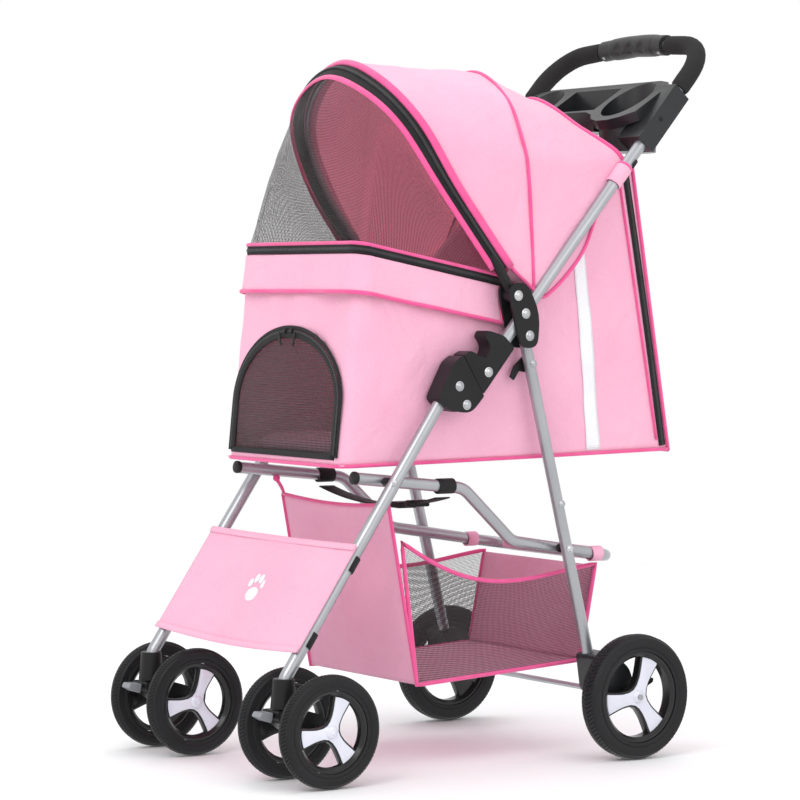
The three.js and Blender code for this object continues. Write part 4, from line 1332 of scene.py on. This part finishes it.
def makeCanopy():
    def pointAt(u, v):
        place = hoodPoint(u, v)
        # taut between the hoop, the middle seam and the back edge, a little slack between
        slack = math.sin(math.pi * min(1, v / 0.5)) if v < 0.5 else math.sin(math.pi * (v - 0.5) / 0.5)
        top = math.sin(math.pi * u)
        inward = (hoodCentre - place).normalized()
        return place + inward * hoodLook["slack"] * slack * top

    # a second sheet just inside the canopy in the glowing cloth: painted light standing in for daylight
    # through the hood
    def liningAt(u, v):
        return pointAt(u, 0.07 + 0.89 * v) - fromHood(pointAt(u, v)) * hoodLook["inside"]

    on = ["hoodHoop", "handleTube"]
    shape = {"grid": (96, 64), "pointAt": pointAt, "inside": hoodCentre, "crease": (0.0042, 7, 8.3, 0.1),
             "on": on}
    blendHood(makeSheet("canopyCloth", "cloth", shape, None, ["canopy"]))
    # the painted glow sheet inside the canopy
    lining = {"grid": (60, 40), "pointAt": liningAt, "inside": hoodCentre, "thick": 0.0006, "on": on}
    blendHood(makeSheet("hoodGlowLining", "lining", lining, None))
    steps = shareSteps(60)
    edge = [hoodPoint(u, 0) for u in steps]
    inside = [p + (hoodCentre - p).normalized() * hoodLook["inside"] for p in edge[3:-3]]
    hoop = [edge[0], *inside, edge[-1]]
    bm = sweep(smoothPath(hoop, 0.01), roundProfile(hoodLook["hoop"], 14), anyWay)
    finishMetal(bm, "hoodHoop", "hood", ["hood_hoop"])
    front = [hoodPoint(u, 0, 0.0022) for u in steps]
    blendHood(makeTape("hoodFrontBinding", front, 0.0105, None, fromHood, 0.0042, "hot"))
    blendHood(makePiping("hoodMiddlePiping", [hoodPoint(u, 0.5, 0.001) for u in steps], None, 0.0024))
    blendHood(makePiping("hoodBackPiping", [hoodPoint(u, 1.0, 0.001) for u in steps], None, 0.0030))
    for side, u in (("left", 0.0), ("right", 1.0)):
        edge = [hoodPoint(u, v, 0.001) for v in steps]
        blendHood(makePiping(f"hoodSidePiping_{side}", edge, None, 0.0026))


innerRib = [(161, 43, 660), (155, -38, 763), (131, -88, 846), (76, -111, 893), (0, -118, 915)]


def innerPoint(u):
    half = [Vector(p) for p in innerRib]
    return mm(*curveThrough(half + mirrored(half[:-1]), u))


# The cabin's rim line from one hinge round the front to the other.
def rimPoint(u):
    return wrapPoint(0.125 + 0.75 * u, 1.0, -0.001) + Vector((0, 0, 0.003))


def makeWindow():
    # the band between the hoop's edge and the net carries the zip
    def bandAt(u, v):
        outer, inner = hoodPoint(u, 0), innerPoint(u)
        out = (outer + inner) / 2 - hoodCentre
        return outer.lerp(inner, v) + out.normalized() * hoodLook["band"] * math.sin(math.pi * v)

    shape = {"grid": (96, 6), "pointAt": bandAt, "inside": hoodCentre, "thick": 0.0014, "on": ["hoodHoop"]}
    blendHood(makeSheet("hoodBand", "tape", shape, None))
    steps = shareSteps(96)
    teeth = [bandAt(u, 0.46) + fromHood(bandAt(u, 0.46)) * 0.001 for u in steps]
    blendHood(makeTape("hoodZipTeeth", teeth, 0.0042, None, fromHood, 0.0026, "zip"))
    inner = [bandAt(u, 1.0) for u in steps]
    blendHood(makeTape("hoodInnerBinding", inner, 0.0080, None, fromHood, 0.0030, "hot"))

    def netAt(u, v):
        low, high = rimPoint(u), innerPoint(u)
        out = (low.lerp(high, 0.5) - mm(0, 60, 700)).normalized()
        return low.lerp(high, v) + out * hoodLook["netBulge"] * math.sin(math.pi * v)

    shape = {"grid": (96, 40), "pointAt": netAt, "inside": mm(0, 60, 700), "crease": (0.003, 9, 4.4),
             "thick": 0.0005, "on": ["hoodHoop", "cabinWalls"]}
    net = makeSheet("windowNet", "net", shape, None, ["mesh_window"])
    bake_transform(net)


def rimAtDepth(y):
    for (_, y0, z0), (_, y1, z1) in zip(rimLine, rimLine[1:]):
        if y <= y1:
            break
    return z0 + (z1 - z0) * min(1, max(0, (y - y0) / (y1 - y0)))


# Cloth that closes the gap between the hood's lower edge and the cabin's wall.
def makeGussets():
    for side, sign in sides:
        def pointAt(u, v):
            outer = hoodPoint(0 if sign > 0 else 1, 0.03 + 0.94 * u, -0.001)
            y = (outer.y - midAxles) * 1000
            inner = mm(0, y, rimAtDepth(y) - 2)
            inner.x = sign * (cabin["half"] + 0.001)
            return outer.lerp(inner, v) - Vector((0, 0, 0.0025 * math.sin(math.pi * v)))

        shape = {"grid": (40, 6), "pointAt": pointAt, "inside": mm(0, 120, 700), "thick": 0.001,
                 "on": ["cabinWalls", "canopyCloth"]}
        blendHood(makeSheet(f"hoodGusset_{side}", "cloth", shape, None))


def makeHandleLoops():
    # a cloth loop and a hook-and-loop tab that hold the hood's back corners to the handle
    across = Vector((0, -math.sin(handlePitch), math.cos(handlePitch)))
    behind = [math.pi * (1.1 + 0.8 * t) for t in shareSteps(14)]
    strips = (("hoodLoop", 404, 0.030, "cloth", None), ("hoodLoopEdge", 421, 0.004, "hot", None),
              ("hoodTab", 432, 0.010, "tape", behind))
    for side, sign in sides:
        for name, s, width, finish, turns in strips:
            bm = tapeRound(mm(frameLook["legX"] * sign, *onHandle(s)), across, 0.0102, width, 0.0016, turns)
            finishPiece(bm, f"{name}_{side}", finish, "handle_frame")


makeCanopy()
makeWindow()
makeGussets()
makeHandleLoops()
print("hood made")


# ---- basket
basket = {"half": 0.129, "front": ((-100, 350), (-52, 110)), "foot": ((-52, 110), (221, 127)),
          "back": ((221, 127), (246, 256)), "loop": (272, 268), "wrap": 0.0102, "sideSag": 52}
basketCentre = mm(0, 90, 200)


def squashBasket(piece):
    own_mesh(piece)
    return piece


def between(pair, t):
    (y0, z0), (y1, z1) = pair
    return y0 + (y1 - y0) * t, z0 + (z1 - z0) * t


def makeBasket():
    half = basket["half"]

    def panel(pair, sag, lift=0.0):
        def pointAt(u, v):
            y, z = between(pair, v)
            place = mm(0, y, z)
            place.x = half * (1 - 2 * u)
            swell = math.sin(math.pi * u) * math.sin(math.pi * min(1, max(0, v)))
            place += Vector(sag) * swell
            place.z -= lift * math.sin(math.pi * u) * (1 - v if pair == basket["front"] else v)
            return place
        return pointAt

    front = panel(basket["front"], (0, -0.006, 0), 0.006)
    floor, back = panel(basket["foot"], (0, 0, -0.004)), panel(basket["back"], (0, 0.004, 0))
    for name, grid, part, crease, on, node in (
            ("basketFront", (32, 30), front, (0.006, 7, 2.2), "uBarTube", ["basket"]),
            ("basketFloor", (32, 30), floor, (0.004, 8, 7.7), "basketFront", ()),
            ("basketBack", (32, 18), back, (0.004, 8, 9.1), "uBarTube", ())):
        shape = {"grid": grid, "pointAt": part, "inside": basketCentre, "crease": crease,
                 "held": "hung", "on": [on]}
        squashBasket(makeSheet(name, "cloth", shape, "u_bar_frame", node))

    # the back folds over the bar's loop
    def wrapAt(u, v):
        turn = math.pi * (1.15 - 1.5 * v)
        place = mm(0, *basket["loop"])
        place.y += basket["wrap"] * math.cos(turn)
        place.z += basket["wrap"] * math.sin(turn)
        place.x = (half - 0.022) * (1 - 2 * u)
        return place

    shape = {"grid": (24, 12), "pointAt": wrapAt, "inside": mm(0, *basket["loop"]), "thick": 0.0012,
             "on": ["uBarTube"], "held": "folded"}
    squashBasket(makeSheet("basketWrap", "cloth", shape, "u_bar_frame"))

    for side, sign in sides:
        # netted side: front edge follows the front panel, the top sags to the back corner
        def topLine(t):
            return -78 + 324 * t, 300 - 42 * t - basket["sideSag"] * math.sin(math.pi * t) * (1 - 0.55 * t)

        def netAt(u, v):
            place = mm(0, *between((between(basket["foot"], u), topLine(u)), v))
            place.x = sign * (half + 0.003 * math.sin(math.pi * u) * math.sin(math.pi * v))
            return place

        shape = {"grid": (36, 20), "pointAt": netAt, "inside": basketCentre, "crease": (0.003, 9, 3 + sign),
                 "thick": 0.0005, "on": ["basketFront"], "held": "hung"}
        squashBasket(makeSheet(f"basketNet_{side}", "net", shape, "u_bar_frame"))
        ring = [netAt(0, k / 20) for k in range(20)] + [netAt(k / 36, 1) for k in range(36)]
        ring += [netAt(1, 1 - k / 14) for k in range(14)] + [netAt(1 - k / 30, 0) for k in range(30)]
        squashBasket(makePiping(f"basketBinding_{side}", ring, "u_bar_frame", 0.0030, loop=True))
        edge = [mm(sign * 129, *between(basket["front"], t)) for t in shareSteps(24)]
        squashBasket(makePiping(f"basketFrontEdge_{side}", edge, "u_bar_frame", 0.0026))
        # ribbon tie from the bar to the panel's top corner
        hang = ((144, -104, 372), (138, -102, 366), (130, -100, 356), (126, -99, 346))
        tie = smoothPath([mm(sign * x, y, z) for x, y, z in hang], 0.004)
        ribbon = makeTape(f"basketTie_{side}", tie, 0.006, "u_bar_frame", Vector((0, -1, 0.2)), 0.0014,
                          "hot")
        squashBasket(ribbon)
        knot = bmesh.new()
        bmesh.ops.create_uvsphere(knot, u_segments=14, v_segments=9, radius=0.005)
        bmesh.ops.translate(knot, vec=mm(sign * 141, -103, 371), verts=knot.verts[:])
        squashBasket(finishPiece(knot, f"basketKnot_{side}", "hot", "u_bar_frame"))
        # loops that hold the back corners to the bar
        loop = tapeRound(mm(sign * frameLook["barX"], 232, 274), Vector((0, 0, 1)), 0.0098, 0.018)
        squashBasket(finishPiece(loop, f"basketLoop_{side}", "cloth", "u_bar_frame"))
    top = [mm(129 - 258 * t, *between(basket["front"], 0)) - Vector((0, 0, 0.006 * math.sin(math.pi * t)))
           for t in shareSteps(24)]
    squashBasket(makePiping("basketTopEdge", top, "u_bar_frame", 0.0024))


strapLook = {"y": -21, "high": 361.2, "sag": 20, "half": 154.5, "barHeight": 373.4}


# Webbing slung from bar to bar under the cabin, with a buckle near its middle.
def makeCabinStrap():
    def hangAt(x):
        sag = strapLook["sag"] * (1 - (x / strapLook["half"]) ** 2)
        return mm(x, strapLook["y"], strapLook["high"] - sag)

    line = [hangAt(x) for x in range(-140, 141, 10)]
    band = makeTape("cabinWebbing", line, 0.025, "u_bar_frame", Vector((0, 0, 1)), 0.0018)
    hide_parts("cabin_strap")
    squashBasket(band)
    for side, sign in sides:
        centre = mm(sign * frameLook["barX"], strapLook["y"], strapLook["barHeight"])
        loop = tapeRound(centre, Vector((0, 0, 1)), 0.0094, 0.026, 0.0018)
        squashBasket(finishPiece(loop, f"strapLoop_{side}", "tape", "u_bar_frame"))
    bm = bmesh.new()
    for x, size in ((46, (0.030, 0.031, 0.008)), (82, (0.012, 0.034, 0.009))):
        addBlock(bm, size, Matrix.Translation(hangAt(x)), 0.0025, 3)
    squashBasket(finishPiece(bm, "strapBuckle", "black", "u_bar_frame", sharp=45))


# ---- leg guard
guardLook = {"low": 166, "tall": 131, "half": 0.178, "proud": 9.9, "dip": 3.5, "sag": 5,
             "tabs": ((186, "low"), (280, "high"))}
pawMarks = ((0, 0, 13, 10.5), (-15, 13, 4.6, 6.4), (-5.4, 19, 4.8, 7), (5.4, 19, 4.8, 7), (15, 13, 4.6, 6.4))


def makeLegGuard():
    look = guardLook
    foot, top = Vector((-285, 135)), Vector((-22, 521))
    along = (top - foot).normalized()
    out = Vector((-along.y, along.x))

    def onLeg(z, proud):
        s = (z - foot.y) / along.y
        return foot + along * s + out * proud

    def pointAt(u, v):
        bow = math.sin(math.pi * u)
        y, z = onLeg(look["low"] + look["tall"] * v, look["proud"] - look["dip"] * bow)
        place = mm(0, y, z - look["sag"] * bow * (1 - v))
        place.x = look["half"] * (1 - 2 * u)
        return place

    shape = {"grid": (60, 26), "pointAt": pointAt, "inside": mm(0, -60, 260),
             "crease": (0.0045, 8, 6.1, 0.12), "on": ["frontLeg_left", "frontLeg_right"]}
    makeSheet("legGuardCloth", "cloth", shape, "front_frame", ["leg_guard"])
    square = Vector((0, out.x, out.y))
    for name, v, finish in (("legGuardTop", 0.985, "cloth"), ("legGuardFoot", 0.02, "cloth")):
        line = [pointAt(u, v) + square * 0.001 for u in shareSteps(40)]
        makeTape(name, line, 0.009, "front_frame", square, 0.002, finish)
    behind = [math.pi * (0.94 + 1.12 * t) for t in shareSteps(18)]
    for side, sign in sides:
        for z, place in look["tabs"]:
            tab = tapeRound(mm(sign * frameLook["legX"], *onLeg(z, 0)), square, 0.0096, 0.022, turns=behind)
            finishPiece(tab, f"guardTab_{side}_{place}", "tape", "front_frame")
    # a plain paw print on the guard
    bm = bmesh.new()
    for a, b, wide, tall in pawMarks:
        mark = bmesh.new()
        bmesh.ops.create_circle(mark, cap_ends=True, segments=28, radius=1)
        spot = Matrix.Translation(pointAt(0.5 - a / 356, 0.46 + b / 131) + square * 0.0024)
        size = Matrix.Diagonal((wide / 1000, tall / 1000, 1, 1))
        bmesh.ops.transform(mark, matrix=spot @ pointed(square) @ size, verts=mark.verts[:])
        deepen(mark, mark.faces[:], square * -0.0012)
        addShape(bm, mark)
    finishPiece(bm, "pawPrint", "stripe", "front_frame", sharp=40)


makeBasket()
makeCabinStrap()
makeLegGuard()
print("basket and guard made")


# ---- floor, light and camera
studio = {"floor": (0.93, 0.93, 0.94), "clearFrom": 1.4, "clearTo": 3.6, "world": 1.0}
lamps = (("keyLight", (1.3, -2.4, 2.6), 34, 1.6), ("fillLight", (2.9, 0.5, 1.7), 12, 2.2),
         ("topLight", (-0.5, 0.3, 3.2), 18, 2.4))


def makeStudio():
    scene.view_settings.view_transform = "Standard"
    scene.view_settings.look = "None"
    bm = bmesh.new()
    bmesh.ops.create_circle(bm, cap_ends=True, segments=64, radius=7)
    floor = finishPiece(bm, "studioFloor", "cloth")
    material, tree, shader = startMaterial("studioFloor", 0.7)
    place = addNode(tree, "ShaderNodeTexCoord")
    away = addNode(tree, "ShaderNodeVectorMath", {0: place.outputs["Object"]}, operation="LENGTH")
    fade = ramp(tree, away.outputs["Value"], studio["clearFrom"], studio["clearTo"], 1, 0)
    tree.links.new(fade, shader.inputs["Alpha"])
    shader.inputs["Base Color"].default_value = (*studio["floor"], 1)
    floor.data.materials.clear()
    floor.data.materials.append(material)
    floor.visible_glossy = False
    world = bpy.data.worlds.new("studio")
    scene.world = world
    world.use_nodes = True
    sky = world.node_tree.nodes["Background"]
    sky.inputs["Color"].default_value = (1, 1, 1, 1)
    sky.inputs["Strength"].default_value = studio["world"]
    for name, spot, power, size in lamps:
        lamp = bpy.data.lights.new(name, "AREA")
        lamp.energy = power
        lamp.size = size
        held = bpy.data.objects.new(name, lamp)
        held.location = spot
        held.rotation_euler = (Vector((0, 0, 0.45)) - Vector(spot)).to_track_quat("-Z", "Y").to_euler()
        scene.collection.objects.link(held)


view = {"target": (0, 0, 472.8), "azimuth": 55.454, "elevation": 1.996, "roll": 0.491, "distance": 4.0395,
        "lens": 133.38, "shift": (0.00468, 0.00862)}


def makeCamera():
    turn, lift, roll = (math.radians(view[key]) for key in ("azimuth", "elevation", "roll"))
    back = Vector((math.sin(turn) * math.cos(lift), -math.cos(turn) * math.cos(lift), math.sin(lift)))
    right = Vector((math.cos(turn), math.sin(turn), 0))
    up = back.cross(right)
    across = right * math.cos(roll) + up * math.sin(roll)
    rise = up * math.cos(roll) - right * math.sin(roll)
    lens = bpy.data.cameras.new("mainView")
    lens.sensor_width = 36
    lens.lens = view["lens"]
    lens.shift_x, lens.shift_y = view["shift"]
    lens.clip_end = 50
    camera = bpy.data.objects.new("mainView", lens)
    scene.collection.objects.link(camera)
    turnMatrix = Matrix((across, rise, back)).transposed().to_4x4()
    camera.matrix_world = Matrix.Translation(mm(*view["target"]) + back * view["distance"]) @ turnMatrix
    scene.camera = camera


makeStudio()
makeCamera()
bpy.context.view_layer.update()
print("stroller finished")
